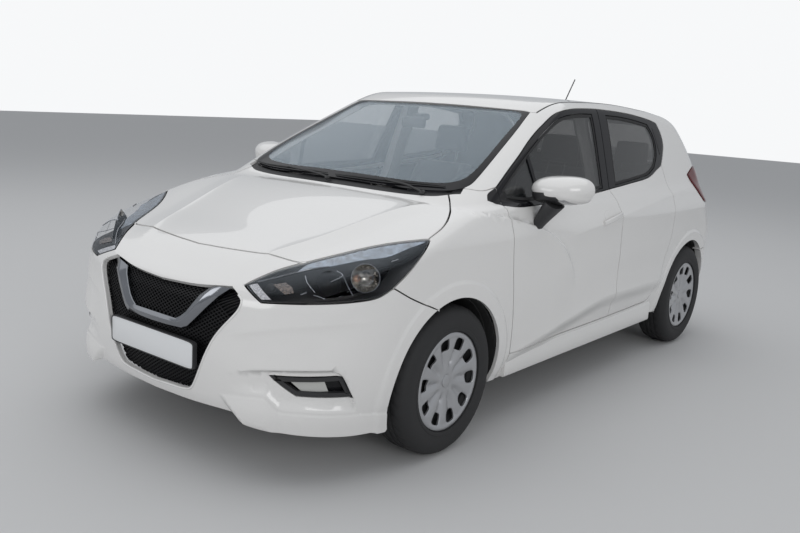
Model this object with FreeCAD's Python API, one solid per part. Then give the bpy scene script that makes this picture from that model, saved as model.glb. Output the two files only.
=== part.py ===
import FreeCAD, Part
import math
import os
from FreeCAD import Vector

# A five-door hatchback car, panel by panel, in millimetres.
# +Z is up, the nose points along -Y and the car's left side is +X.
# The origin is on the ground, at the middle of the car's length and width.
# Lengthwise places are stations: the distance behind the nose, turned into Y by at().

# Driving dimensions
LENGTH = 3999.0
HALF_WIDTH = 871.5
HEIGHT = 1465.0
WHEELBASE = 2525.0
FRONT_OVERHANG = 818.0
TYRE_RADIUS = 308.0
GROUND_CLEARANCE = 160.0
BONNET_THICKNESS = 26.0
PANEL_GAP = 8.0
ARCH_RADIUS = 346.0
LINER_THICKNESS = 10.0
LINER_INNER_X = 478.0
STEER_AXIS_X = 722.0
TAIL_LAMP_INNER = 613.4

FRONT_AXLE = FRONT_OVERHANG
REAR_AXLE = FRONT_OVERHANG + WHEELBASE


def at(station):
    """Y of a place that lies this far behind the nose."""
    return station - LENGTH / 2


# The lower body is a stack of plan outlines, each of eight tangent arcs.
# Columns: height, nose station, nose radius, front corner radius, half width,
# rear corner radius, tail radius, tail station
LOWER_OUTLINES = [
    (GROUND_CLEARANCE, 70, 2400, 400, 782, 340, 3000, 3905),
    (300, 14, 2400, 420, 838, 350, 3000, 3972),
    (450, 0, 2300, 430, 862, 350, 3000, LENGTH),
    (660, 28, 2200, 430, HALF_WIDTH, 350, 3000, 3985),
    (850, 72, 2000, 430, 866, 365, 2750, 3912),
    (950, 85, 2000, 430, 829, 380, 2600, 3868),
    (1050, 98, 2000, 430, 776, 400, 2500, 3832),
    (1270, 110, 2000, 430, 704, 430, 2500, 3745),
]
# The top of the lower body. Columns: station, height at the middle, height 900 mm out
LOWER_TOP = [
    (-30, 650, 610),
    (66, 704, 655),
    (230, 800, 752),
    (450, 868, 822),
    (950, 1003, 962),
    (1200, 1024, 990),
    (2050, 1030, 1000),
    (2750, 1078, 1050),
    (2930, 1126, 1096),
    (3110, 1236, 1202),
    (3220, 1225, 1190),
    (3600, 1095, 1055),
    (4030, 1030, 990),
]
# The glasshouse, in the same way as the lower body
UPPER_OUTLINES = [
    (950, 855, 4000, 170, 806, 300, 2600, 3868),
    (1150, 1212, 3700, 170, 738, 290, 2500, 3770),
    (1330, 1590, 3400, 170, 674, 270, 2500, 3600),
    (1490, 1935, 3300, 160, 604, 250, 2500, 3370),
]
# The roof. Columns: station, height at the middle, height 900 mm out
ROOF_TOP = [
    (800, 1335, 1300),
    (1800, 1436, 1401),
    (2100, 1459, 1424),
    (2450, HEIGHT, 1430),
    (3000, 1441, 1406),
    (3300, 1412, 1377),
    (4030, 1300, 1265),
]
SIDE_RADIUS = 40000.0
EDGE_X = 900.0


def tangent_outline(height, nose, nose_r, front_r, half_width, rear_r, tail_r, tail):
    """Closed plan outline of eight arcs that meet without a kink, symmetric about the car's middle."""
    middle = (at(nose) + at(tail)) / 2
    nose_c = Vector(0, at(nose) + nose_r, height)
    tail_c = Vector(0, at(tail) - tail_r, height)
    side_c = Vector(half_width - SIDE_RADIUS, middle, height)

    def corner(end_c, end_r, corner_r, sign):
        # The corner's centre lies where two circles about the end's and side's centres cross.
        reach_end = end_r - corner_r
        reach_side = SIDE_RADIUS - corner_r
        line = end_c - side_c
        span = line.Length
        along = (reach_side**2 - reach_end**2 + span**2) / (2 * span)
        off = math.sqrt(reach_side**2 - along**2)
        unit = line / span
        across = Vector(-unit.y, unit.x, 0) * sign
        centre = side_c + unit * along + across * off
        on_end = end_c + (centre - end_c).normalize() * end_r
        on_side = side_c + (centre - side_c).normalize() * SIDE_RADIUS
        bisector = ((on_end - centre) + (on_side - centre)).normalize()
        return on_end, centre + bisector * corner_r, on_side

    # The nose's centre lies on the tail side of its arc, so both ends take the outer crossing.
    front = corner(nose_c, nose_r, front_r, pick_side(nose_c, side_c, -1))
    rear = corner(tail_c, tail_r, rear_r, pick_side(tail_c, side_c, 1))
    nose_tip = Vector(0, at(nose), height)
    tail_tip = Vector(0, at(tail), height)
    side_mid = Vector(half_width, middle, height)
    mirror = lambda v: Vector(-v.x, v.y, v.z)
    arcs = [
        (mirror(front[0]), nose_tip, front[0]),
        (front[0], front[1], front[2]),
        (front[2], side_mid, rear[2]),
        (rear[2], rear[1], rear[0]),
        (rear[0], tail_tip, mirror(rear[0])),
        (mirror(rear[0]), mirror(rear[1]), mirror(rear[2])),
        (mirror(rear[2]), mirror(side_mid), mirror(front[2])),
        (mirror(front[2]), mirror(front[1]), mirror(front[0])),
    ]
    return Part.Wire([Part.Arc(*three).toShape() for three in arcs])


def pick_side(end_c, side_c, toward):
    """Which of the two circle crossings lies toward the nose (-1) or the tail (+1)."""
    line = end_c - side_c
    return toward if line.x > 0 else -toward


def stack(rows, side_in=0.0, nose_in=0.0, tail_in=0.0):
    """Solid through the plan outlines, drawn in by the given walls."""
    wires = []
    for z, nose, nose_r, front_r, half, rear_r, tail_r, tail in rows:
        wires.append(
            tangent_outline(
                z,
                nose + nose_in,
                nose_r,
                front_r - side_in / 2,
                half - side_in,
                rear_r - side_in / 2,
                tail_r,
                tail - tail_in,
            )
        )
    return Part.makeLoft(wires, True, True)


def under(rows, lowered=0.0):
    """Solid below a crowned top surface, from under the ground up."""
    wires = []
    for station, middle, edge in rows:
        y = at(station)
        left = Vector(-EDGE_X, y, edge - lowered)
        right = Vector(EDGE_X, y, edge - lowered)
        top = Part.Arc(left, Vector(0, y, middle - lowered), right).toShape()
        base_left = Vector(-EDGE_X, y, -50)
        base_right = Vector(EDGE_X, y, -50)
        wires.append(
            Part.Wire(
                [
                    top,
                    Part.makeLine(right, base_right),
                    Part.makeLine(base_right, base_left),
                    Part.makeLine(base_left, left),
                ]
            )
        )
    return Part.makeLoft(wires, True, True)

# Outlines of the panels, seen from the side: station, height
FRONT_DOOR = [
    (1266, 336), (1242, 508), (1203, 740), (1196, 860), (1203, 984), (1205, 1062), (1444, 1193),
    (1704, 1323), (1862, 1386), (2021, 1410), (2300, 1419), (2237, 1030), (2241, 865),
    (2258, 681), (2282, 405), (2284, 340),
]
REAR_DOOR = [
    (2284, 340), (2282, 405), (2258, 681), (2241, 865), (2237, 1030), (2300, 1419), (2741, 1400),
    (2960, 1376), (3046, 1360), (3086, 1240), (3050, 1184), (2990, 1120), (3010, 1000),
    (3006, 850), (2980, 720), (2935, 600), (2908, 490), (2860, 392), (2790, 344),
]
FRONT_WINDOW = [
    (1262, 1018), (1235, 1050), (1460, 1178), (1718, 1305), (1872, 1362), (2030, 1384),
    (2222, 1390), (2162, 1026), (1800, 1012), (1400, 1004),
]
REAR_WINDOW = [
    (2318, 1036), (2384, 1388), (2735, 1370), (2905, 1350), (2965, 1240), (2945, 1175),
    (2880, 1112), (2780, 1078), (2500, 1050),
]
WING = [
    (690, 120), (690, 620), (521, 697), (434, 743), (381, 766), (381, 1100), (1140, 1100),
    (1196, 1040), (1196, 860), (1203, 740), (1242, 508), (1266, 336), (1266, 120),
]
FRONT_BUMPER = [
    (-60, 100), (690, 100), (690, 620), (521, 697), (434, 743), (381, 766), (381, 960), (-60, 960),
]
REAR_BUMPER = [
    (3560, 100), (3560, 560), (3700, 592), (4060, 592), (4060, 100),
]
HEADLAMP_SIDE = [
    (60, 676), (94, 678), (195, 697), (373, 715), (429, 740), (515, 798), (663, 886), (690, 1000),
    (60, 1000),
]
TAIL_LAMP = [
    (3390, 1056), (3480, 1090), (3560, 1110), (4060, 1110), (4060, 868), (3740, 868), (3560, 890),
    (3466, 960),
]
# Outlines seen from above: distance from the middle, station
BONNET_EDGE = [
    (0, 226), (300, 258), (428, 276), (508, 284), (530, 300), (637, 491), (700, 568), (800, 663),
    (783, 777), (716, 909), (640, 1010), (613, 1036), (560, 1010), (440, 985), (300, 970), (0, 960),
]
COWL_EDGE = [
    (0, 960), (300, 970), (440, 985), (560, 1010), (613, 1036), (655, 1060), (645, 1096),
    (600, 1062), (440, 1022), (300, 1010), (0, 1003),
]
WINDSCREEN_EDGE = [
    (0, 1003), (300, 1010), (440, 1022), (600, 1062), (645, 1096), (652, 1216), (600, 1520),
    (548, 1760), (300, 1744), (0, 1738),
]
HEADLAMP_EDGE = [
    (400, 105), (524, 289), (637, 491), (700, 568), (806, 668.7), (920, 640), (920, 300), (640, -40),
    (430, -40),
]
# Outlines seen from the front or the back: distance from the middle, height
GRILLE_EDGE = [
    (0, 682), (195, 690), (312, 702), (359, 707), (430, 671), (428, 645), (343, 531), (221, 306),
    (103, 289), (0, 283),
]
GRILLE_BAR = [(356, 706), (330, 706), (178, 545), (0, 541)]
GRILLE_BAR_LOW = [(0, 517), (190, 520), (362, 694)]
FOG_EDGE = [(566, 424), (761, 434), (778, 350), (647, 357)]
TAILGATE_EDGE = [
    (0, 594), (420, 594), (560, 640), (600, 760), (609, 866), (609, 1200), (600, 1330),
    (584, 1500), (0, 1500),
]
REAR_SCREEN_EDGE = [(0, 1100), (480, 1112), (556, 1130), (562, 1200), (528, 1340), (480, 1352), (0, 1362)]


def grown(points, by):
    """The polygon with each side moved outwards by a distance."""
    count = len(points)
    area = sum(
        points[i][0] * points[(i + 1) % count][1] - points[(i + 1) % count][0] * points[i][1]
        for i in range(count)
    )
    sign = 1.0 if area > 0 else -1.0
    moved = []
    for i in range(count):
        (px, py), (qx, qy), (rx, ry) = points[i - 1], points[i], points[(i + 1) % count]
        before = math.hypot(qx - px, qy - py)
        after = math.hypot(rx - qx, ry - qy)
        n1 = ((qy - py) / before * sign, -(qx - px) / before * sign)
        n2 = ((ry - qy) / after * sign, -(rx - qx) / after * sign)
        scale = by / max(0.3, 1.0 + n1[0] * n2[0] + n1[1] * n2[1])
        moved.append((qx + (n1[0] + n2[0]) * scale, qy + (n1[1] + n2[1]) * scale))
    return moved


def whole(half):
    """A symmetric outline from its right half, which starts and ends on the middle line."""
    other = [(-x, v) for x, v in reversed(half) if x > 0]
    return half + other


def face_of(points):
    return Part.Face(Part.makePolygon(points + [points[0]]))


def side_prism(outline, inner, outer):
    """Solid over an outline seen from the side, between two distances from the middle."""
    return face_of([Vector(inner, at(s), z) for s, z in outline]).extrude(Vector(outer - inner, 0, 0))


def plan_prism(outline, low, high):
    """Solid over an outline seen from above."""
    return face_of([Vector(x, at(s), low) for x, s in outline]).extrude(Vector(0, 0, high - low))


def front_prism(outline, front, rear):
    """Solid over an outline seen from the front, between two stations."""
    return face_of([Vector(x, at(front), z) for x, z in outline]).extrude(Vector(0, rear - front, 0))


def block(x0, x1, s0, s1, z0, z1):
    return Part.makeBox(x1 - x0, s1 - s0, z1 - z0, Vector(x0, at(s0), z0))


def rod(x0, s0, z0, x1, s1, z1, radius):
    start = Vector(x0, at(s0), z0)
    line = Vector(x1, at(s1), z1) - start
    return Part.makeCylinder(radius, line.Length, start, line)


def disc(station, z, radius, inner, outer):
    """Cylinder along X."""
    return Part.makeCylinder(radius, outer - inner, Vector(inner, at(station), z), Vector(1, 0, 0))


def mirrored(shape):
    return shape.mirror(Vector(0, 0, 0), Vector(1, 0, 0))


def pair(shape):
    return [shape, mirrored(shape)]


def fuse(shapes):
    first = shapes[0]
    if len(shapes) == 1:
        return first
    return first.multiFuse(shapes[1:]).removeSplitter()


def turned(profile, station, z, side):
    """Solid of revolution about the wheel's axle from (radius, distance from the middle) points."""
    points = [Vector(x * side, at(station), z + r) for r, x in profile]
    return face_of(points).revolve(Vector(0, at(station), z), Vector(1, 0, 0), 360)


nodes = {}


def keep(name, shapes):
    solids = []
    for shape in shapes:
        # A crumb that a cut leaves behind at a corner isn't part of the car.
        solids.extend(solid for solid in shape.Solids if solid.Volume > 2000)
    nodes[name] = Part.makeCompound(solids)


# Body volumes: the outside, a layer below it, the hollow, and the hollow with a fitting gap
def envelope(side_low, side_high, nose, tail_low, tail_high, top_low, top_high, dropped):
    low_rows = [(LOWER_OUTLINES[0][0] - dropped,) + LOWER_OUTLINES[0][1:]] + LOWER_OUTLINES[1:]
    lower = stack(low_rows, side_low, nose, tail_low).common(under(LOWER_TOP, top_low))
    upper = stack(UPPER_OUTLINES, side_high, nose * 0.4, tail_high).common(under(ROOF_TOP, top_high))
    return lower.fuse(upper)


outside = envelope(0, 0, 0, 0, 0, 0, 0, 0)
layer = envelope(14, 12, 14, 14, 12, 12, 12, 30)
hollow = envelope(64, 42, 46, 58, 40, 26, 28, 30)
core = envelope(64.4, 42.4, 46.4, 58.4, 40.4, 26.4, 28.4, 30)
shell = outside.cut(hollow)

arch_cuts = []
for axle in (FRONT_AXLE, REAR_AXLE):
    arch_cuts.append(disc(axle, TYRE_RADIUS, ARCH_RADIUS, 560, 1000))
    arch_cuts.append(disc(axle, TYRE_RADIUS, ARCH_RADIUS, -1000, -560))
shell = shell.cut(Part.makeCompound(arch_cuts))


def panel(prism_of, outline, flange):
    """Panel cut from the shell: its skin fills the outline less half the gap, its inside is smaller."""
    piece = shell.common(prism_of(grown(outline, -PANEL_GAP / 2)))
    if flange:
        ring = prism_of(grown(outline, 20)).cut(prism_of(grown(outline, -flange)))
        piece = piece.cut(ring.common(layer))
    return piece


def door_prism(outline):
    return side_prism(outline, 598, 1000)


def glass_prism(outline):
    return side_prism(outline, 560, 1000)


glass_outer = envelope(4, 4, 4, 4, 4, 4, 4, 10)
glass_inner = envelope(9, 9, 9, 9, 9, 9, 9, 20)
glass_layer = glass_outer.cut(glass_inner)

# Doors with their panes
front_door = panel(door_prism, FRONT_DOOR, 18).cut(glass_prism(FRONT_WINDOW))
rear_door = panel(door_prism, REAR_DOOR, 18).cut(glass_prism(REAR_WINDOW))
front_pane = glass_layer.common(glass_prism(grown(FRONT_WINDOW, -0.3)))
rear_pane = glass_layer.common(glass_prism(grown(REAR_WINDOW, -0.3)))

# Bonnet: only the top layer of the lower body
below_top = under(LOWER_TOP, BONNET_THICKNESS)
bonnet_outline = whole(BONNET_EDGE)
bonnet = shell.common(plan_prism(grown(bonnet_outline, -PANEL_GAP), 500, 1300)).cut(below_top)
bonnet_hole = plan_prism(bonnet_outline, 500, 1300).cut(below_top)

# Cowl and windscreen
cowl_outline = whole(COWL_EDGE)
cowl = shell.common(plan_prism(grown(cowl_outline, -0.3), 900, 1200))
screen_outline = whole(WINDSCREEN_EDGE)
windscreen = glass_layer.common(plan_prism(grown(screen_outline, -0.3), 900, 1600))

# Lamps, grille and bumpers
lamp_prism = plan_prism(HEADLAMP_EDGE, 500, 1100).common(side_prism(HEADLAMP_SIDE, 300, 1000))
lamp_small = plan_prism(grown(HEADLAMP_EDGE, -0.4), 500, 1100).common(
    side_prism(grown(HEADLAMP_SIDE, -0.4), 300, 1000)
)
headlamp = shell.common(lamp_small)
tail_lamp = shell.common(side_prism(grown(TAIL_LAMP, -0.4), TAIL_LAMP_INNER, 1000))
grille_outline = whole(GRILLE_EDGE)
grille_prism = front_prism(grille_outline, -60, 400)
grille_cut = front_prism(grown(grille_outline, -0.4), -60, 200)
grille = stack(LOWER_OUTLINES, 4, 20, 4).common(grille_cut).cut(stack(LOWER_OUTLINES, 6, 36, 6))
grille = grille.cut(pair(lamp_prism))
bar = GRILLE_BAR + [(-x, z) for x, z in reversed(GRILLE_BAR) if x > 0]
bar_low = [(-x, z) for x, z in reversed(GRILLE_BAR_LOW) if x > 0] + GRILLE_BAR_LOW
bar_ring = bar + bar_low
bar_cut = front_prism(bar_ring, -60, 200).common(front_prism(grown(grille_outline, -1), -60, 200))
bar_cut = bar_cut.cut(pair(lamp_prism))
grille_bar = stack(LOWER_OUTLINES, 2, 2, 2).common(bar_cut).cut(stack(LOWER_OUTLINES, 6, 19.7, 6))
fog_prism = front_prism(FOG_EDGE, -60, 500)
fog_lamp = shell.common(front_prism(grown(FOG_EDGE, -0.4), -60, 500))

front_bumper = shell.common(side_prism(FRONT_BUMPER, -1000, 1000))
front_bumper = front_bumper.cut(bonnet_hole)
front_bumper = front_bumper.cut(Part.makeCompound(pair(lamp_prism) + pair(fog_prism)))
front_bumper = front_bumper.cut(grille_prism)
rear_bumper = shell.common(side_prism(REAR_BUMPER, -1000, 1000))

wing = shell.common(side_prism(grown(WING, -0.3), 590, 1000)).cut(bonnet_hole).cut(lamp_prism)
wing = wing.cut(plan_prism(cowl_outline, 900, 1200)).cut(plan_prism(screen_outline, 900, 1600))

# Tailgate with its rear screen
tailgate_outline = whole(TAILGATE_EDGE)
tailgate = panel(lambda o: front_prism(o, 3290 + (PANEL_GAP / 2), 4100), tailgate_outline, 22)
screen_hole = whole(REAR_SCREEN_EDGE)
tailgate = tailgate.cut(front_prism(screen_hole, 3480, 4100))
rear_screen = glass_layer.common(front_prism(grown(screen_hole, -0.3), 3480.3, 4100))

# What stays of the shell
holes = []
for shape in (
    side_prism(grown(FRONT_DOOR, PANEL_GAP / 2), 598, 1000),
    side_prism(grown(REAR_DOOR, PANEL_GAP / 2), 598, 1000),
    side_prism(WING, 590, 1000),
    lamp_prism,
    side_prism(TAIL_LAMP, TAIL_LAMP_INNER - 5, 1000),
):
    holes.extend(pair(shape))
holes.append(bonnet_hole)
holes.append(plan_prism(cowl_outline, 900, 1200))
holes.append(plan_prism(screen_outline, 900, 1600))
holes.append(side_prism(FRONT_BUMPER, -1000, 1000))
holes.append(side_prism(grown(REAR_BUMPER, 0.3), -1000, 1000))
holes.append(front_prism(grown(tailgate_outline, PANEL_GAP / 2), 3290 - (PANEL_GAP / 2), 4100))
body = shell.cut(holes)

# Inner pillar between the doors, joined to the sill and to the roof
PILLAR = [
    (700, 225), (790, 225), (790, 318), (768, 330), (789, 450), (797, 660), (792, 850), (752, 950),
    (686, 1150), (622, 1330), (596, 1400), (590, 1430), (540, 1430), (560, 1330), (626, 1150),
    (690, 950), (730, 850), (736, 660), (728, 450), (700, 330),
]
# Its rear half stands further in, because the rear door's front edge swings in there.
PILLAR_REAR = [
    (700, 225), (790, 225), (790, 318), (740, 330), (740, 600), (748, 660), (745, 850), (690, 950),
    (640, 1150), (600, 1330), (580, 1400), (590, 1430), (540, 1430), (545, 1330), (590, 1150),
    (650, 950), (700, 850), (705, 660), (695, 450), (690, 330),
]
pillar = front_prism(PILLAR, 2215, 2258).fuse(front_prism(PILLAR_REAR, 2256, 2305))
body = body.multiFuse(pair(pillar))
keep("body_shell", [body])

# Latches stand inside the pillars and meet the back edge of each closed door from within
front_latch = block(745, 900, 2222, 2250, 640, 720).common(core).cut(pillar)
rear_latch = block(752, 900, 2952, 3050, 800, 880).common(core)
gate_latch = block(-45, 45, 3880, 4000, 560, 640).common(core)
keep("door_latches", pair(front_latch) + pair(rear_latch) + [gate_latch])
keep("cowl", [cowl])
keep("windscreen", [windscreen])
keep("bonnet", [bonnet])
keep("front_bumper", [front_bumper])
keep("rear_bumper", [rear_bumper])
keep("front_wings", pair(wing))
keep("grille", [grille])
keep("grille_bar", [grille_bar])
keep("headlamps", pair(headlamp))
keep("fog_lamps", pair(fog_lamp))
keep("tail_lamps", pair(tail_lamp))
keep("door_glass_front_left", [front_pane])
keep("door_glass_front_right", [mirrored(front_pane)])
keep("door_glass_rear_left", [rear_pane])
keep("door_glass_rear_right", [mirrored(rear_pane)])
keep("rear_screen", [rear_screen])

# Door handles are bars on two posts that stand on the door
handle = fuse(
    [
        block(868, 884, 2010, 2240, 876, 900),
        block(840, 872, 2020, 2050, 878, 898),
        block(840, 872, 2200, 2230, 878, 898),
    ]
)
front_door = front_door.fuse(handle)
keep("door_front_left", [front_door])
keep("door_front_right", [mirrored(front_door)])
keep("door_rear_left", [rear_door])
keep("door_rear_right", [mirrored(rear_door)])

# Mirrors: a stalk on the door and a housing with a flat back
MIRROR_FACE = [(836, 1000), (836, 1085), (880, 1116), (1000, 1118), (1066, 1094), (1068, 1040), (1040, 1006)]
MIRROR_NOSE = [(866, 1024), (866, 1070), (896, 1092), (990, 1094), (1034, 1078), (1036, 1044), (1012, 1028)]
mirror_front = Part.makePolygon([Vector(x, at(1400), z) for x, z in MIRROR_NOSE + MIRROR_NOSE[:1]])
mirror_back = Part.makePolygon([Vector(x, at(1500), z) for x, z in MIRROR_FACE + MIRROR_FACE[:1]])
housing = Part.makeLoft([mirror_front, mirror_back], True, True)
STALK = [(852, 900), (872, 950), (930, 1012), (880, 1012), (838, 968), (838, 900)]
stalk = front_prism(STALK, 1410, 1480)
mirror = housing.fuse(stalk.cut(outside))
keep("mirror_left", [mirror])
keep("mirror_right", [mirrored(mirror)])

keep("tailgate", [tailgate])

# Floor pan: cabin floor, boot floor, firewall and the four wheel arch liners
FLOOR_LOW = 215
FLOOR_TOP = 237
BOOT_LOW = 385
BOOT_TOP = 405
FIREWALL_FRONT = 1166
FIREWALL_REAR = 1188
plates = [
    block(-900, 900, FIREWALL_FRONT, 2739.7, FLOOR_LOW, FLOOR_TOP),
    block(-900, 900, 2740, 2762, FLOOR_LOW, BOOT_LOW - 0.3),
    block(-900, 900, 2740, 3940, BOOT_LOW, BOOT_TOP),
    block(-900, 900, FIREWALL_FRONT, FIREWALL_REAR, FLOOR_TOP + 0.3, 940),
]
liner_radius = ARCH_RADIUS + LINER_THICKNESS
liners = []
wells = []
for axle, inner in ((FRONT_AXLE, LINER_INNER_X), (REAR_AXLE, 545)):
    drum = disc(axle, TYRE_RADIUS, liner_radius, inner, 900).cut(
        disc(axle, TYRE_RADIUS, ARCH_RADIUS, inner + LINER_THICKNESS, 1000)
    )
    low_cut = 400 if axle == FRONT_AXLE else 385
    liners.extend(pair(drum.cut(block(0, 625, axle - 500, axle + 500, -100, low_cut))))
    wells.extend(pair(disc(axle, TYRE_RADIUS, liner_radius + 0.3, inner - 0.3, 1000)))
below = block(-900, 900, -100, 4100, -100, 175)
pan = [plate.cut(wells).common(core).cut(pair(pillar)) for plate in plates]
liners = [liner.common(core).cut(below) for liner in liners]
keep("floor_pan", pan + liners)

# Cabin
DASH_SIDE = [(1188.3, 600), (1188.3, 960), (1340, 985), (1500, 952), (1520, 860), (1400, 640), (1300, 600)]
dash = side_prism(DASH_SIDE, -690, 690)
keep("dashboard", [dash])


def seat(x0, x1, station, low, back_height, base_z):
    """A cushion, a leaning backrest and a head restraint on two posts, as one solid."""
    cushion = side_prism(
        [
            (station, base_z), (station + 480, base_z), (station + 480, low), (station + 60, low + 50),
            (station, low + 30),
        ],
        x0,
        x1,
    )
    lean = 0.32
    top = low + back_height
    back = side_prism(
        [
            (station + 430, base_z + 30), (station + 555, base_z + 30), (station + 560, low),
            (station + 560 + lean * back_height, top), (station + 490 + lean * back_height, top),
            (station + 430, low + 20),
        ],
        x0,
        x1,
    )
    middle = (x0 + x1) / 2
    head_s = station + 500 + lean * back_height
    head = block(middle - 125, middle + 125, head_s + 10, head_s + 95, top + 50, top + 215)
    posts = [
        rod(x, head_s + 25, top - 40, x, head_s + 45, top + 70, 8) for x in (middle - 60, middle + 60)
    ]
    return fuse([cushion, back, head] + posts)


seat_base = block(150, 590, 1780, 2200, FLOOR_TOP + 0.3, 300)
front_seat = fuse([seat(120, 620, 1700, 500, 560, 300), seat_base])
keep("front_seats", pair(front_seat))
bench = seat(-610, -210, 2620, 520, 520, FLOOR_TOP + 0.3)
bench_mid = seat(-210, 210, 2620, 520, 520, FLOOR_TOP + 0.3)
bench_right = seat(210, 610, 2620, 520, 520, FLOOR_TOP + 0.3)
rear_bench = fuse([bench, bench_mid, bench_right])
rear_bench = rear_bench.cut([block(-900, 900, 2739.7, 3400, 0, BOOT_TOP + 0.3)] + wells)
keep("rear_bench", [rear_bench])

# Steering wheel: a rim, three spokes and a hub on a column that leans with the driver's view
WHEEL_CENTRE = Vector(370, at(1650), 905)


def on_column(shape):
    """Turns a shape built about the Y axis onto the steering column."""
    shape = shape.copy()
    shape.rotate(Vector(0, 0, 0), Vector(1, 0, 0), 22)
    shape.translate(WHEEL_CENTRE)
    return shape


ring = Part.makeTorus(180, 15, Vector(0, 0, 0), Vector(0, 1, 0))
hub = Part.makeCylinder(60, 46, Vector(0, -34, 0), Vector(0, 1, 0))
spokes = [
    Part.makeBox(150, 14, 34, Vector(35, -10, -17)),
    Part.makeBox(150, 14, 34, Vector(-185, -10, -17)),
    Part.makeBox(34, 14, 150, Vector(-17, -10, -185)),
]
stub = Part.makeCylinder(24, 60, Vector(0, -94, 0), Vector(0, 1, 0))
steering_wheel = on_column(fuse([ring, hub, stub] + spokes))
keep("steering_wheel", [steering_wheel])
column = on_column(Part.makeCylinder(40, 160, Vector(0, -254.3, 0), Vector(0, 1, 0)))
column = column.cut(dash)
keep("steering_column", [column])

# Under the car
engine = block(-310, 300, 430, 900, 240.3, 780)
keep("engine_block", [engine])
subframe = block(-370, 370, 750, 890, 190, 240)
arm = plan_prism([(330, 760), (690, 790), (748, 795), (748, 842), (690, 848), (330, 1000)], 176, 194)
mount = block(330, 370, 750, 1000, 176, 240)
strut = rod(590, 818, 180, 590, 818, 640, 26)
front_suspension = fuse([subframe] + pair(arm) + pair(mount) + pair(strut))
keep("front_suspension", [front_suspension])

knuckle = fuse(
    [
        block(690, 736, 773, 863, 200, 420),
        Part.makeCylinder(12, 30, Vector(STEER_AXIS_X, at(818), 194.3)),
        disc(FRONT_AXLE, TYRE_RADIUS, 58, 700, 744.7),
        disc(FRONT_AXLE, TYRE_RADIUS, 30, 700, 790),
    ]
)
keep("knuckle_left", [knuckle])
keep("knuckle_right", [mirrored(knuckle)])

ARM_SIDE = [
    (2930, 300), (2930, 384.7), (3010, 384.7), (3010, 350), (3380, 340), (3380, 276), (3010, 270),
]
beam = rod(-600, 3190, 300, 600, 3190, 300, 34)
side_arm = fuse(
    [
        side_prism(ARM_SIDE, 575, 620),
        block(620, 700, 3290, 3396, 250, 366),
        disc(REAR_AXLE, TYRE_RADIUS, 58, 690, 744.7),
        disc(REAR_AXLE, TYRE_RADIUS, 30, 700, 790),
    ]
)
rear_axle = fuse([beam] + pair(side_arm))
keep("rear_axle", [rear_axle])
tank = block(-420, 420, 2775, 3085, 240, BOOT_LOW - 0.3)
keep("fuel_tank", [tank])
silencer = rod(-260, 3640, 290, 300, 3640, 290, 80)
exhaust = fuse(
    [
        silencer,
        block(-200, -160, 3620, 3660, 300, BOOT_LOW - 0.3),
        block(200, 240, 3620, 3660, 300, BOOT_LOW - 0.3),
        rod(0, 900, 190, 0, 3640, 190, 22),
        rod(0, 3640, 180, 0, 3640, 260, 22),
        rod(0, 880, 190, 0, 880, 400, 22),
        Part.makeSphere(22, Vector(0, at(880), 190)),
        rod(260, 3640, 250, 312, 3850, 215, 24),
        block(-22, 22, 1500, 1540, 195, FLOOR_LOW - 0.3),
        block(-22, 22, 2400, 2440, 195, FLOOR_LOW - 0.3),
    ]
)
exhaust = exhaust.cut([engine, block(-400, 400, 740, 899.7, 0, 800)])
keep("exhaust", [exhaust])

# Wheels: profiles as (radius, distance from the middle) points
TYRE_PROFILE = [
    (191.3, 690), (191.3, 676), (206.6, 676), (214, 668), (250, 663), (285, 666), (303, 680),
    (TYRE_RADIUS, 705), (TYRE_RADIUS, 805), (303, 830), (285, 844), (250, 847.5), (214, 842),
    (206.6, 834), (191.3, 834), (191.3, 822), (210, 822), (240, 832), (280, 830), (294, 800),
    (294, 710), (280, 680), (240, 678), (210, 688),
]
RIM_PROFILE = [
    (0, 800), (0, 826), (60, 830), (188, 838), (206, 842), (206, 834.4), (191, 834.4), (191, 675.6),
    (206, 675.6), (206, 668), (182, 668), (182, 822), (60, 812), (60, 745), (36, 745), (36, 800),
]
for name, axle, side in (
    ("front_left", FRONT_AXLE, 1),
    ("front_right", FRONT_AXLE, -1),
    ("rear_left", REAR_AXLE, 1),
    ("rear_right", REAR_AXLE, -1),
):
    keep("tyre_" + name, [turned(TYRE_PROFILE, axle, TYRE_RADIUS, side)])
    keep("wheel_" + name, [turned(RIM_PROFILE, axle, TYRE_RADIUS, side)])

# Plates and aerial
front_plate = block(-260, 260, 0, 8, 381, 491).fuse(block(-60, 60, 8, 19.7, 412, 472))
keep("front_plate", [front_plate])
rear_plate = block(-260, 260, 3987, 3995, 640, 750).fuse(block(-110, 110, 3960, 3987, 660, 730))
rear_plate = rear_plate.cut(tailgate)
keep("rear_plate", [rear_plate])
aerial = fuse([Part.makeSphere(22, Vector(0, at(3120), 1436)), rod(0, 3120, 1440, 0, 3240, 1600, 3.5)])
keep("aerial", [aerial.cut(outside)])

os.makedirs("parts", exist_ok=True)
for name, shape in nodes.items():
    shape.exportStep("parts/" + name + ".step")
    print(name, shape.isValid(), [round(solid.Volume / 1e6, 3) for solid in shape.Solids])
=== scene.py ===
# %% [markdown]
# This lesson dresses a small five-door hatchback car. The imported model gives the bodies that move
# and one plain solid for each piece. Here each piece gets the surface, the edges and the finish of
# the real one.

# %% Load the frame
import math

import bpy
import numpy as np
from mathutils import Matrix, Vector
from mathutils.geometry import delaunay_2d_cdt


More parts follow.
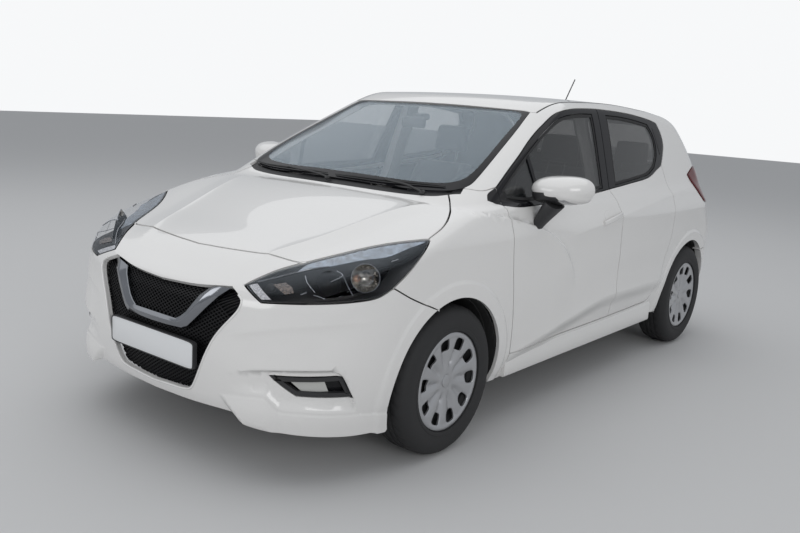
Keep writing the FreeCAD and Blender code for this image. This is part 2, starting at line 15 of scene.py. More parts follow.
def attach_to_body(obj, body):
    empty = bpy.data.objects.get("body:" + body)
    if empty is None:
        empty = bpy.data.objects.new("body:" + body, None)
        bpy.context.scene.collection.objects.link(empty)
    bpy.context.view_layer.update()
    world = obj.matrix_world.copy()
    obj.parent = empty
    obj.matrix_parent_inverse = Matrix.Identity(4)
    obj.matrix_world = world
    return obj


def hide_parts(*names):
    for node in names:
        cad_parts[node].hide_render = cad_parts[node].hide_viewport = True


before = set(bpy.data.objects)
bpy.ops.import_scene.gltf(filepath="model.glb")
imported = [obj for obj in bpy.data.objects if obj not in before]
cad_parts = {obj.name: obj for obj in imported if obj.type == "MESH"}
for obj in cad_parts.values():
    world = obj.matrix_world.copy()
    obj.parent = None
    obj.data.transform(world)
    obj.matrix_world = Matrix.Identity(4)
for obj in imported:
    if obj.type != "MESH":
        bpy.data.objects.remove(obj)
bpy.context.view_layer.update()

# %% [markdown]
# A car body is drawn with sections: outlines seen from above at a few heights, and the height of
# the middle line at a few places along the car. All lengths below are millimetres. A station is
# the distance behind the nose, and the nose points along -Y.

# %% The sections
LENGTH = 3999.0
SIDE_ARC = 40000.0
MIRROR = np.array([-1, 1, 1])
# Columns: height, nose station, nose radius, front corner radius, half width, rear corner radius,
# tail radius, tail station
LOWER_OUTLINES = [
    (160, 70, 2400, 400, 782, 340, 3000, 3905),
    (300, 14, 2400, 420, 838, 350, 3000, 3972),
    (450, 0, 2300, 430, 862, 350, 3000, 3999),
    (660, 28, 2200, 430, 871.5, 350, 3000, 3985),
    (850, 72, 2000, 430, 866, 365, 2750, 3912),
    (950, 85, 2000, 430, 829, 380, 2600, 3868),
    (1050, 98, 2000, 430, 776, 400, 2500, 3832),
    (1270, 110, 2000, 430, 704, 430, 2500, 3745),
]
UPPER_OUTLINES = [
    (950, 855, 4000, 170, 806, 300, 2600, 3868),
    (1150, 1212, 3700, 170, 738, 290, 2500, 3770),
    (1330, 1590, 3400, 170, 674, 270, 2500, 3600),
    (1490, 1935, 3300, 160, 604, 250, 2500, 3370),
]
# Columns: station, height at the middle, height 900 mm out
LOWER_TOP = [
    (-30, 650, 610), (66, 704, 655), (230, 800, 752), (450, 868, 822), (950, 1003, 962),
    (1200, 1024, 990), (2050, 1030, 1000), (2750, 1078, 1050), (2930, 1126, 1096),
    (3110, 1236, 1202), (3220, 1225, 1190), (3600, 1095, 1055), (4030, 1030, 990),
]
ROOF_TOP = [
    (800, 1335, 1300), (1800, 1436, 1401), (2100, 1459, 1424), (2450, 1465, 1430),
    (3000, 1441, 1406), (3300, 1412, 1377), (4030, 1300, 1265),
]


# %% Smooth columns
def hermite(places, values, tangent, at):
    """A smooth curve through values at places, with a slope at each."""
    step = np.diff(places)
    k = np.clip(np.searchsorted(places, at, side="right") - 1, 0, len(step) - 1)
    h = step[k]
    t = (at - places[k]) / h
    a = (1 + 2 * t) * (1 - t) ** 2 * values[k] + t * (1 - t) ** 2 * h * tangent[k]
    return a + t * t * (3 - 2 * t) * values[k + 1] + t * t * (t - 1) * h * tangent[k + 1]


def smooth_column(places, values):
    """A curve through the values of a table column that never overshoots between its rows."""
    places = np.asarray(places, float)
    values = np.asarray(values, float)
    step = np.diff(places)
    slope = np.diff(values) / step
    tangent = np.zeros(len(places))
    for i in range(1, len(places) - 1):
        if slope[i - 1] * slope[i] > 0:
            w1 = 2 * step[i] + step[i - 1]
            w2 = step[i] + 2 * step[i - 1]
            tangent[i] = (w1 + w2) / (w1 / slope[i - 1] + w2 / slope[i])
    tangent[0] = slope[0]
    tangent[-1] = slope[-1]
    return lambda at: hermite(places, values, tangent, np.clip(at, places[0], places[-1]))


def columns(rows):
    table = np.array(rows, float)
    return [smooth_column(table[:, 0], table[:, i]) for i in range(1, table.shape[1])]


lower_columns = columns(LOWER_OUTLINES)
upper_columns = columns(UPPER_OUTLINES)
lower_top = columns(LOWER_TOP)
roof_top = columns(ROOF_TOP)


# %% [markdown]
# From the sections comes one function of a point: below zero inside the car, above zero outside.
# Every panel is cut from that one surface, so neighbours meet and their highlights run on.

# %% The body's surface as a function
def outline_distance(reader, x, s, z):
    """Distance outside the plan outline at height z: an arc for nose, tail, side and each corner."""
    nose, nose_r, front_r, half, rear_r, tail_r, tail = [read(z) for read in reader]
    x = np.abs(x)
    middle = (nose + tail) / 2
    side_x = half - SIDE_ARC

    def corner(end_s, end_r, radius, sign):
        reach_end = end_r - radius
        reach_side = SIDE_ARC - radius
        dx = -side_x
        ds = end_s - middle
        span = np.hypot(dx, ds)
        along = (reach_side**2 - reach_end**2 + span**2) / (2 * span)
        off = np.sqrt(np.maximum(reach_side**2 - along**2, 0)) * sign
        cx = side_x + dx / span * along - ds / span * off
        cs = middle + ds / span * along + dx / span * off
        ex, es = cx, cs - end_s
        fx, fs = cx - side_x, cs - middle
        px, ps = x - cx, s - cs
        turn = np.sign(ex * fs - es * fx)
        within = ((ex * ps - es * px) * turn > 0) & ((px * fs - ps * fx) * turn > 0)
        return np.hypot(px, ps) - radius, within

    nose_s = nose + nose_r
    tail_s = tail - tail_r
    front, in_front = corner(nose_s, nose_r, front_r, -1)
    rear, in_rear = corner(tail_s, tail_r, rear_r, 1)
    to_nose = np.where(s < middle, np.hypot(x, s - nose_s) - nose_r, -1e6)
    to_tail = np.where(s >= middle, np.hypot(x, s - tail_s) - tail_r, -1e6)
    to_side = np.hypot(x - side_x, s - middle) - SIDE_ARC
    far = np.maximum(np.maximum(to_nose, to_tail), to_side)
    far = np.where(in_front, front, far)
    return np.where(in_rear, rear, far)


def above(reader, x, s, z):
    """Height over a crowned top surface."""
    middle, edge = reader[0](s), reader[1](s)
    return z - (middle - (middle - edge) * (x / 900.0) ** 2)


def soft_max(a, b, k):
    h = np.maximum(k - np.abs(a - b), 0) / k
    return np.maximum(a, b) + h * h * k / 4


def soft_min(a, b, k):
    return -soft_max(-a, -b, k)


def ease(t):
    t = np.clip(t, 0, 1)
    return t * t * (3 - 2 * t)


# %% [markdown]
# Pressed lines give the sides their light and shade: a wing line that sweeps down on the front
# door, a shoulder line that climbs to the tail lamp, and a low line above the sill.

# %% Pressed lines
shoulder_line = smooth_column([1500, 1689, 2360, 3447, 3700], [806, 829, 898, 996, 1015])
low_line = smooth_column([1200, 1303, 1750, 2224, 2898, 3050], [332, 345, 420, 478, 470, 460])
wing_line = smooth_column([560, 640, 760, 855, 951, 975], [1790, 1742, 1640, 1487, 1125, 900])
front_wheel = (818.0, 308.0)
rear_wheel = (3343.0, 308.0)


def pressed(x, s, z):
    """How far the pressed lines and arches stand out of the plain side."""
    d = z - shoulder_line(s)
    fade = ease((s - 1560) / 260) * ease((3720 - s) / 300)
    out = fade * (14 * np.exp(-np.abs(d) / np.where(d > 0, 90.0, 60.0)) - 5)
    d = z - low_line(s)
    fade = ease((s - 1180) / 200) * ease((3020 - s) / 160)
    out += fade * np.where(d > 0, 11 * np.exp(-d / 60.0), 11 - 22 * ease(-d / 85.0))
    d = s - wing_line(z)
    fade = ease((z - 560) / 150) * ease((1010 - z) / 60)
    out += fade * np.where(d < 0, 9 * np.exp(d / 140.0), 9 - 15 * ease(d / 46.0) * np.exp(-d / 240.0))
    for centre_s, centre_z in (front_wheel, rear_wheel):
        r = np.hypot(s - centre_s, z - centre_z)
        out += 7 * ease((420 - r) / 20)
    return np.where(np.abs(x) > 560, out, 0)


def round_nose(x, s):
    """How far a place is round the car's front, unrolled: -514 at the middle, 900 at the side."""
    return 900 - 900 * np.arctan2(900 - np.minimum(s, 900), np.abs(x))


blade_line = smooth_column([-514, -240, -163, -65, 23, 51, 77, 141, 238, 331, 426, 489, 620],
    [310, 312, 319, 335, 346, 323, 299, 297, 291, 286, 271, 261, 250])
pocket_top = smooth_column([-160, -97, -27, 58, 137, 214, 300], [405, 414, 438, 453, 460, 463, 464])
pocket_end = smooth_column([250, 316, 380, 425, 448, 462, 500], [345, 327, 302, 282, 265, 240, 150])
lamp_crease = smooth_column([-200, -138, -36, 52, 131, 208, 286, 371, 472, 600],
    [528, 541, 569, 593, 609, 621, 628, 628, 619, 600])


def bumper_relief(x, s, z):
    """The lower blade, the lamp pocket and the broad hollow of the front bumper."""
    u = round_nose(x, s)
    near = ease((700 - s) / 60)
    d = blade_line(u) - z
    blade_end = -163 + 0.88 * (316 - z)
    out = ease((u - blade_end) / 36) * ease(d / 9) * (4 + 0.26 * np.clip(d, 0, 110))
    pocket = ease((pocket_top(u) - z) / 12) * ease((pocket_end(z) - u) / 13) * ease((u + 130) / 170)
    out -= 17 * pocket * ease(-d / 42)
    fall = np.clip((lamp_crease(u) - z) / np.maximum(lamp_crease(u) - pocket_top(u), 1), 0, 1)
    out -= 11 * (1 - np.exp(-4 * fall)) * (1 - fall) ** 1.1 * ease((u + 190) / 160) * ease((430 - u) / 240)
    return near * out


def bonnet_relief(x, s, z):
    """Two raised lines run back over the bonnet from the corners of the grille."""
    line = 330 + (s - 200) * 0.40 - 60 * ease((s - 300) / 700)
    d = np.abs(x) - line
    fade = ease((s - 120) / 200) * ease((1010 - s) / 200)
    ridge = 5.5 * np.exp(-np.abs(d) / 38.0)
    slope = -5.0 * ease(d / 110) * ease((260 - d) / 160)
    return fade * (ridge + slope)


def body(x, s, z):
    """Below zero inside the car."""
    side = outline_distance(lower_columns, x, s, z) - pressed(x, s, z) - bumper_relief(x, s, z)
    lower = soft_max(side, above(lower_top, x, s, z) - bonnet_relief(x, s, z), 46)
    upper = soft_max(outline_distance(upper_columns, x, s, z), above(roof_top, x, s, z), 60)
    return soft_min(lower, upper, 14)


# %% [markdown]
# A panel is drawn as a flat outline in one view, filled with triangles, and then each point is
# sent along a ray until it meets the body. Most panels use a view that goes round the car like a
# label round a tin: straight in along the sides, and fanned round each end. The bonnet and the
# roof use a view from above, and the tailgate a fan of its own.

# %% Rays for each view
FRONT_FAN = 900.0
REAR_FAN = 3100.0
FAN_HEIGHT = 760.0


def around_ray(u, v):
    """Rays round the car: u runs along the side and round both ends, v is the climb of the ray."""
    centre = np.clip(u, FRONT_FAN, REAR_FAN)
    a = (u - centre) / 900.0
    b = v / 800.0
    out = np.array([np.cos(a) * np.cos(b), np.sin(a) * np.cos(b), np.sin(b)])
    start = np.array([0 * u, centre, 0 * u + FAN_HEIGHT])
    return start + 1500 * out, -out


def around_flat(x, s, z):
    centre = np.clip(s, FRONT_FAN, REAR_FAN)
    a = np.arctan2(s - centre, x)
    reach = np.hypot(s - centre, x)
    return np.stack([centre + 900 * a, 800 * np.arctan2(z - FAN_HEIGHT, reach)], 1)


def parallel(origin, along, pick):
    """Parallel rays: origin and along give the ray of a flat place, pick gives the flat place back."""
    return (
        lambda u, v: (np.array(origin(u, v)), np.array([[c] for c in along]) + 0 * u),
        lambda x, s, z: np.stack(pick(x, s, z), 1),
        1600.0,
    )


def tail_ray(u, v):
    b = v / 800.0
    out = np.array([0 * u, np.cos(b), np.sin(b)])
    start = np.array([u, 0 * u + 3150.0, 0 * u + 800.0])
    return start + 1300 * out, -out


AROUND = (around_ray, around_flat, 1480.0)
SIDE = parallel(lambda u, v: (1150 + 0 * u, u, v), (-1, 0, 0), lambda x, s, z: (s, z))
TOP = parallel(lambda u, v: (u, v, 1700 + 0 * u), (0, 0, -1), lambda x, s, z: (x, s))
NOSE = parallel(lambda u, v: (u, -200 + 0 * u, v), (0, 1, 0), lambda x, s, z: (x, z))
TAIL = parallel(lambda u, v: (u, 4200 + 0 * u, v), (0, -1, 0), lambda x, s, z: (x, z))
GATE = (
    tail_ray,
    lambda x, s, z: np.stack([x, 800 * np.arctan2(z - 800.0, s - 3150.0)], 1),
    1280.0,
)


def meet(view, flat, surface=body):
    """Points where the rays meet a surface, and the surface's outward directions there."""
    cast, _, reach = view
    u, v = np.asarray(flat, float).T
    origin, along = cast(u, v)
    near = np.zeros(len(u))
    far = np.full(len(u), np.nan)
    steps = np.linspace(0, reach, 75)
    for a, b in zip(steps[:-1], steps[1:]):
        todo = np.isnan(far)
        if not todo.any():
            break
        q = origin[:, todo] + along[:, todo] * b
        hit = surface(*q) < 0
        index = np.flatnonzero(todo)[hit]
        near[index] = a
        far[index] = b
    lost = np.isnan(far)
    far[lost] = reach
    near[lost] = reach
    for _ in range(18):
        mid = (near + far) / 2
        within = surface(*(origin + along * mid)) < 0
        far = np.where(within, mid, far)
        near = np.where(within, near, mid)
    p = origin + along * far
    if lost.any():
        print("rays that miss:", int(lost.sum()), "of", len(lost))
    return p.T, outward(p, surface)


def outward(p, surface=body):
    """The surface's outward direction at points given as rows x, s and z."""
    e = 1.5
    steps = np.eye(3)[:, :, None] * e
    grad = np.array([surface(*(p + d)) - surface(*(p - d)) for d in steps])
    return (grad / np.maximum(np.linalg.norm(grad, axis=0), 1e-9)).T


# %% Outlines
def through(runs, spacing=14.0, closed=True):
    """Even points along runs of curve. Each run is smooth inside, and runs meet at a corner."""
    out = []
    for run in runs:
        p = np.asarray(run, float)
        if len(p) == 2:
            n = max(1, int(round(np.linalg.norm(p[1] - p[0]) / spacing)))
            t = np.linspace(0, 1, n + 1)[:, None]
            dense = p[0] * (1 - t) + p[1] * t
        else:
            chord = np.r_[0, np.cumsum(np.maximum(np.linalg.norm(np.diff(p, axis=0), axis=1), 1e-6) ** 0.5)]
            fine = np.linspace(0, chord[-1], 24 * len(p))
            dense = np.array([catmull(chord, p[:, i], fine) for i in range(p.shape[1])]).T
            length = np.r_[0, np.cumsum(np.linalg.norm(np.diff(dense, axis=0), axis=1))]
            n = max(2, int(round(length[-1] / spacing)))
            even = np.linspace(0, length[-1], n + 1)
            dense = np.array([np.interp(even, length, dense[:, i]) for i in range(p.shape[1])]).T
        out.extend(dense[:-1])
        last = dense[-1]
    if not closed:
        out.append(last)
    return np.array(out)


def catmull(knots, values, at):
    """A smooth curve through the values, with slopes taken from each point's neighbours."""
    step = np.diff(knots)
    slope = np.diff(values) / step
    tangent = np.empty(len(values))
    tangent[0], tangent[-1] = slope[0], slope[-1]
    tangent[1:-1] = (slope[:-1] * step[1:] + slope[1:] * step[:-1]) / (step[1:] + step[:-1])
    return hermite(knots, values, tangent, at)


def unit(rows):
    """Rows or one direction at length one."""
    return rows / np.maximum(np.linalg.norm(rows, axis=-1, keepdims=True), 1e-9)


def area_of(loop):
    x, y = loop.T
    return 0.5 * np.sum(x * np.roll(y, -1) - np.roll(x, -1) * y)


def offset_loop(loop, by):
    """The closed loop moved outwards by a distance, or inwards if it is negative."""
    loop = np.asarray(loop, float)
    sign = 1.0 if area_of(loop) > 0 else -1.0
    before = unit(loop - np.roll(loop, 1, axis=0))
    after = unit(np.roll(loop, -1, axis=0) - loop)
    n1 = np.stack([before[:, 1], -before[:, 0]], 1) * sign
    n2 = np.stack([after[:, 1], -after[:, 0]], 1) * sign
    scale = by / np.maximum(0.35, 1 + np.sum(n1 * n2, axis=1))
    return loop + (n1 + n2) * scale[:, None]


def beside(line, shift):
    """An open line moved sideways."""
    line = np.asarray(line, float)
    run = unit(np.gradient(line, axis=0))
    return line + np.stack([-run[:, 1], run[:, 0]], 1) * shift


def inside(points, loop):
    """Which points lie inside a closed loop."""
    x, y = points.T
    within = np.zeros(len(points), bool)
    for (x1, y1), (x2, y2) in zip(loop, np.roll(loop, -1, axis=0)):
        if y1 == y2:
            continue
        cross = ((y1 > y) != (y2 > y)) & (x < (x2 - x1) * (y - y1) / (y2 - y1) + x1)
        within ^= cross
    return within


def distance_to(points, loop):
    """Distance from each point to the nearest side of a loop."""
    best = np.full(len(points), 1e9)
    for a, b in zip(loop, np.roll(loop, -1, axis=0)):
        d = b - a
        t = np.clip(((points - a) @ d) / max(d @ d, 1e-9), 0, 1)
        best = np.minimum(best, np.linalg.norm(points - a - t[:, None] * d, axis=1))
    return best


def on_sheet(points, loops):
    """Which points lie inside the first loop and in none of the others."""
    keep = inside(points, loops[0])
    for hole in loops[1:]:
        keep &= ~inside(points, hole)
    return keep


def nearest(points, loops):
    return np.min([distance_to(points, loop) for loop in loops], axis=0)


# %% Panels
# Rows of points beside a crease, in millimetres from it
CREASE_ROWS = (-9.0, -4.5, 0.0, 4.5, 9.0)


def fill(outline, holes, spacing, edge, lines=()):
    """Triangles over a flat outline with holes, with a fine ring along each edge and along creases."""
    loops = [np.asarray(outline)] + [np.asarray(h) for h in holes]
    points = []
    edges = []
    rims = []
    for loop in loops:
        start = len(points)
        points.extend(loop)
        rims.append(list(range(start, start + len(loop))))
        edges.extend((start + k, start + (k + 1) % len(loop)) for k in range(len(loop)))
    for i, loop in enumerate(loops):
        ring = offset_loop(loop, -edge if i == 0 else edge)
        points.extend(ring[on_sheet(ring, loops) & (nearest(ring, loops) > edge * 0.6)])
    seeds = [place for line in lines for shift in CREASE_ROWS for place in beside(line, shift)]
    if seeds:
        seeds = np.array(seeds)
        seeds = seeds[on_sheet(seeds, loops)]
        points.extend(seeds[nearest(seeds, loops) > edge * 1.6])
    low, high = loops[0].min(axis=0), loops[0].max(axis=0)
    across = np.arange(low[0], high[0], spacing)
    up = np.arange(low[1], high[1], spacing * 0.866)
    grid = np.array([(u + (j % 2) * spacing / 2, v) for j, v in enumerate(up) for u in across])
    if len(grid):
        grid = grid[on_sheet(grid, loops)]
        room = nearest(grid, loops)
        for line in lines:
            room = np.minimum(room, distance_to(grid, np.vstack([line, line[-2:0:-1]])) - CREASE_ROWS[-1])
        points.extend(grid[room > max(edge * 1.6, spacing * 0.45)])
    points = np.array(points)
    verts, _, faces, origins, _, _ = delaunay_2d_cdt([Vector(p) for p in points], edges, [], 0, 1e-4)
    verts = np.array([tuple(v) for v in verts])
    faces = np.array([f for f in faces if len(f) == 3])
    faces = faces[on_sheet(verts[faces].mean(axis=1), loops)]
    a, b, c = (verts[faces[:, i]] for i in range(3))
    flip = (b - a)[:, 0] * (c - a)[:, 1] - (b - a)[:, 1] * (c - a)[:, 0] < 0
    faces[flip] = faces[flip][:, ::-1]
    where = {old: new for new, olds in enumerate(origins) for old in olds}
    return verts, faces, [[where[k] for k in rim if k in where] for rim in rims]


def to_world(p):
    """Metres in the frame from (distance from the middle, station, height) in millimetres."""
    p = np.asarray(p, float)
    return np.stack([p[:, 0], p[:, 1] - LENGTH / 2, p[:, 2]], 1) / 1000


def add_mesh(name, places, faces, material, normals=None, angle=40):
    """An object from places in metres, with its own directions or with edges kept sharp past an angle."""
    mesh = bpy.data.meshes.new(name)
    mesh.from_pydata(places.tolist(), [], faces)
    if normals is None:
        mesh.validate()
    mesh.shade_smooth()
    if normals is None:
        mesh.set_sharp_from_angle(angle=math.radians(angle))
    else:
        mesh.normals_split_custom_set_from_vertices([tuple(n) for n in normals])
    mesh.materials.append(material)
    thing = bpy.data.objects.new(name, mesh)
    bpy.context.scene.collection.objects.link(thing)
    return thing


def seam(view, *runs, spacing=14.0):
    """Points on the body along runs of curve drawn in one view."""
    return meet(view, through(runs, spacing, closed=False))[0]


def seam_through(*runs):
    """A seam in the view round the car, along runs of places given in space."""
    return seam(AROUND, *[around_flat(*np.array(run, float).T) for run in runs])


def outline(view, *seams):
    """A closed flat loop in one view from points on the body, taken in order."""
    flat = view[1](*np.vstack(seams).T)
    keep = [0]
    for i in range(1, len(flat)):
        if np.linalg.norm(flat[i] - flat[keep[-1]]) > 3.0:
            keep.append(i)
    while np.linalg.norm(flat[keep[-1]] - flat[keep[0]]) <= 3.0:
        keep.pop()
    return flat[keep]


def polygon(view, *corners):
    """A loop in the view round the car, with straight sides between corners drawn in another view."""
    sides = [[a, b] for a, b in zip(corners, corners[1:] + corners[:1])]
    return outline(AROUND, seam(view, *sides))


def other(points):
    """The same seam on the car's right side, taken the other way round."""
    return (points * MIRROR)[::-1]


def whole(view, half):
    """A closed loop across the car from the seams of its left half."""
    return outline(view, *half, *[other(s) for s in half[::-1]])


def panel_parts(view, loop, holes=(), spacing=18.0, depth=18.0, sunk=0.0, edge=2.0, gap=2.2, surface=body,
    lines=()):
    """Points, faces and directions of a closed panel with rounded edges, set back from its seams."""
    loop = offset_loop(loop, -gap)
    holes = [offset_loop(h, gap) for h in holes]
    flat, faces, rims = fill(loop, holes, spacing, edge, lines)
    p, n = meet(view, flat, surface)
    a, b, c = (p[faces[:, i]] for i in range(3))
    turned = np.median(np.sum(np.cross(b - a, c - a) * n[faces[:, 0]], axis=1)) < 0
    if turned:
        faces = faces[:, ::-1]
    p = p - n * sunk
    top = p.copy()
    for rim in rims:
        top[rim] -= n[rim] * min(edge * 0.5, depth * 0.4)
    under = p - n * depth
    count = len(p)
    points, normals = [top, under], [n, -n]
    blocks = [faces, faces[:, ::-1] + count]
    base = 2 * count
    for rim in rims:
        rim = np.array(rim)
        k = len(rim)
        points.extend([top[rim], under[rim]])
        ring = np.arange(k)
        after = (ring + 1) % k
        quads = np.stack([base + ring, base + k + ring, base + k + after, base + after], 1)
        run = top[np.roll(rim, -1)] - top[np.roll(rim, 1)]
        out = unit(np.cross(run, n[rim]))
        if turned:
            out = -out
            quads = quads[:, ::-1]
        blocks.append(quads)
        normals.extend([out, out])
        base += 2 * k
    return np.vstack(points), [f for block in blocks for f in block.tolist()], np.vstack(normals)


def mirrored(parts):
    """Points, faces and any directions, on the car's other side."""
    points, faces, *normals = parts
    return points * MIRROR, [f[::-1] for f in faces], *[n * MIRROR for n in normals]


def joined(several):
    """Several skins or panels as one."""
    faces = []
    base = 0
    for part in several:
        faces.extend([i + base for i in face] for face in part[1])
        base += len(part[0])
    directions = [np.vstack(n) for n in zip(*[part[2:] for part in several])]
    return np.vstack([part[0] for part in several]), faces, *directions


def both(parts):
    return joined([parts, mirrored(parts)])


def attach(thing, node, on):
    """Puts a piece on the body that it moves with, and hides the model's plain solid that it stands for."""
    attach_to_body(thing, on)
    if node:
        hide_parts(node)
    return thing


def dress(name, parts, material, node=None, on="body"):
    """One panel of the car."""
    points, faces, normals = parts
    return attach(add_mesh(name, to_world(points), faces, material, normals), node, on)


def trim(name, skins, material, node=None, on="body", slot=None, angle=50):
    """One piece from several skins of points and faces."""
    points, faces = joined(skins)
    return attach(add_mesh(name, to_world(points), faces, material, None, angle), node, on)


def two_sides(skins):
    """Skins on the left and their mirror images on the right."""
    return skins + [mirrored(skin) for skin in skins]


def each_side(name, parts, material, door="front", node=None, **more):
    """The same panel, or the same list of skins, on the left and on the right, each on its own body."""
    for side in ("left", "right"):
        shown = parts
        if side == "right":
            shown = [mirrored(skin) for skin in parts] if isinstance(parts, list) else mirrored(parts)
        make = trim if isinstance(parts, list) else dress
        make(f"{name}_{side}", shown, material, node and f"{node}_{side}", f"{door}_door_{side}", **more)


# %% [markdown]
# Car paint is a colour under clear lacquer. The lacquer has a faint ripple, called orange peel,
# that only shows in sharp reflections, so it goes in as a very weak bump at about 2 mm.

# %% Paint and plastics
def add_node(tree, kind, **values):
    """A shader node with values on its sockets."""
    made = tree.nodes.new("ShaderNode" + kind)
    for key, value in values.items():
        made.inputs[key.replace("_", " ")].default_value = value
    return made


def wire(tree, *steps):
    """Links from one node's outlet to another node's inlet, given as (node, outlet, node, inlet)."""
    for source, outlet, target, inlet in steps:
        tree.links.new(source.outputs[outlet], target.inputs[inlet])


def shader(name, slot, colour, rough, metal=0.0, **extra):
    """A material, its node tree and its shader. The slot argument is not used."""
    material = bpy.data.materials.new(name)
    material.use_nodes = True
    tree = material.node_tree
    bsdf = tree.nodes["Principled BSDF"]
    values = {"Base Color": (*colour, 1), "Roughness": rough, "Metallic": metal}
    values.update({key.replace("_", " "): value for key, value in extra.items()})
    for key, value in values.items():
        bsdf.inputs[key].default_value = value
    return material, tree, bsdf


def finish(name, slot, colour, rough, scale, height, gloss, metal=0.0, tint=None, detail=3.0, **extra):
    """Fine surface relief from noise, with the gloss or the colour wandering along with it."""
    material, tree, bsdf = shader(name, slot, colour, rough, metal, **extra)
    place = add_node(tree, "TexCoord")
    noise = add_node(tree, "TexNoise", Scale=scale, Detail=detail)
    bump = add_node(tree, "Bump", Distance=height, Strength=1.0)
    spread = add_node(tree, "MapRange", To_Min=gloss[0], To_Max=gloss[1])
    wire(tree, (place, "Object", noise, "Vector"), (noise, "Fac", bump, "Height"),
         (bump, "Normal", bsdf, "Normal"), (noise, "Fac", spread, "Value"),
         (spread, "Result", bsdf, "Roughness"))
    if tint:
        ramp = add_node(tree, "ValToRGB")
        for stop, position, tone in zip(ramp.color_ramp.elements, (0.35, 0.65), tint):
            stop.position = position
            stop.color = (*tone, 1)
        wire(tree, (noise, "Fac", ramp, "Fac"), (ramp, "Color", bsdf, "Base Color"))
    return material


white_paint = finish("white paint", "body_paint", (0.79, 0.78, 0.765), 0.22, 450, 0.00002, (0.2, 0.26),
    tint=((0.775, 0.765, 0.75), (0.80, 0.79, 0.775)), Coat_Weight=1.0, Coat_Roughness=0.02)
black_gloss = finish("gloss black", "black_gloss", (0.010, 0.010, 0.012), 0.12, 500, 0.00001, (0.08, 0.16),
    Specular_IOR_Level=0.22)
black_plastic = finish("grained black plastic", "black_plastic", (0.028, 0.028, 0.03), 0.55, 900, 0.00008,
    (0.45, 0.65))
underbody = finish("underseal", "underbody", (0.02, 0.02, 0.02), 0.85, 120, 0.0006, (0.75, 0.95))
rubber = finish("tyre rubber", "black_plastic", (0.022, 0.022, 0.023), 0.75, 300, 0.0001, (0.65, 0.85))
chrome = finish("bright trim", "chrome_trim", (0.86, 0.87, 0.88), 0.08, 400, 0.00001, (0.05, 0.12), 1.0)
steel = finish("bare steel", "steel", (0.42, 0.41, 0.40), 0.4, 80, 0.0001, (0.3, 0.55), 0.9)
iron = finish("cast iron", "steel", (0.10, 0.095, 0.09), 0.6, 150, 0.0003, (0.5, 0.7), 0.6)
wheel_silver = finish("wheel silver", "wheel_silver", (0.47, 0.475, 0.49), 0.3, 600, 0.00002, (0.28, 0.38),
    0.75, Coat_Weight=0.4)
seat_cloth = finish("seat cloth", "seat_fabric", (0.10, 0.10, 0.11), 0.9, 700, 0.0004, (0.85, 0.97),
    tint=((0.07, 0.07, 0.08), (0.14, 0.14, 0.15)), Sheen_Weight=0.3)
dash_plastic = finish("dash plastic", "dash_plastic", (0.045, 0.045, 0.05), 0.6, 800, 0.0001, (0.5, 0.7))
plate_white = finish("plate film", "plate_white", (0.75, 0.76, 0.77), 0.35, 500, 0.00002, (0.3, 0.42))
red_glass = finish("red lamp cover", "red_lamp", (0.11, 0.004, 0.006), 0.1, 500, 0.00001, (0.06, 0.14),
    Specular_IOR_Level=0.4)


def clear(name, slot, colour, low, metal=0.0, high=1.0):
    """Glass that shows what is behind it, and mirrors more as it is seen at a slant."""
    coat = {"Coat_Weight": 1.0 - metal, "Coat_Roughness": 0.01}
    material, tree, bsdf = shader(name, slot, colour, 0.02, metal, **coat)
    slant = add_node(tree, "LayerWeight", Blend=0.12)
    spread = add_node(tree, "MapRange", To_Min=low, To_Max=high)
    wire(tree, (slant, "Facing", spread, "Value"), (spread, "Result", bsdf, "Alpha"))
    return material


side_glass = clear("side glass", "glass_tint", (0.012, 0.014, 0.015), 0.46)
screen_glass = clear("windscreen glass", "glass_tint", (0.62, 0.72, 0.80), 0.065, metal=1.0, high=0.8)
lamp_glass = clear("lamp cover", "lamp_glass", (0.80, 0.88, 0.97), 0.0, metal=1.0, high=0.28)
print("finishes made:", len(bpy.data.materials))


# %% [markdown]
# The camera stands where the photographer stood: about 2.7 m to the car's left and 1.9 m ahead of
# its nose, at the height of the roof, and looks slightly down. The floor and the background are
# plain and pale, and the light is soft, from broad lamps overhead, on the near side and in front.

# %% Camera
YAW, PITCH, ROLL = 0.665, 0.195, 0.064
forward = Vector((-math.sin(YAW) * math.cos(PITCH), math.cos(YAW) * math.cos(PITCH), -math.sin(PITCH)))
level = forward.cross(Vector((0, 0, 1))).normalized()
straight_up = level.cross(forward)
right = level * math.cos(ROLL) + straight_up * math.sin(ROLL)
up = straight_up * math.cos(ROLL) - level * math.sin(ROLL)
camera_data = bpy.data.cameras.new("camera")
camera_data.lens = 38.14
camera_data.sensor_width = 36.0
camera = bpy.data.objects.new("camera", camera_data)
turn = Matrix((right, up, -forward)).transposed()
camera.matrix_world = Matrix.Translation((2.6645, -3.8758, 1.4067)) @ turn.to_4x4()
bpy.context.scene.collection.objects.link(camera)
bpy.context.scene.camera = camera
bpy.context.scene.view_settings.view_transform = "Standard"
print("camera at", tuple(round(c, 3) for c in camera.location))


# %% Light, floor and background
def lamp(name, place, target, size, power):
    data = bpy.data.lights.new(name, "AREA")
    data.shape = "RECTANGLE"
    data.size, data.size_y = size
    data.energy = power
    thing = bpy.data.objects.new(name, data)
    thing.location = place
    thing.rotation_euler = (Vector(target) - Vector(place)).to_track_quat("-Z", "Y").to_euler()
    bpy.context.scene.collection.objects.link(thing)


lamp("overhead", (-1.5, 0.5, 6.5), (-0.5, 0, 0.6), (13, 12), 240)
lamp("near side", (8.0, -5.0, 3.6), (0, 0, 0.6), (6, 3), 150)
lamp("front", (-3.5, -9.0, 3.2), (0, -1.5, 0.6), (6, 3), 110)

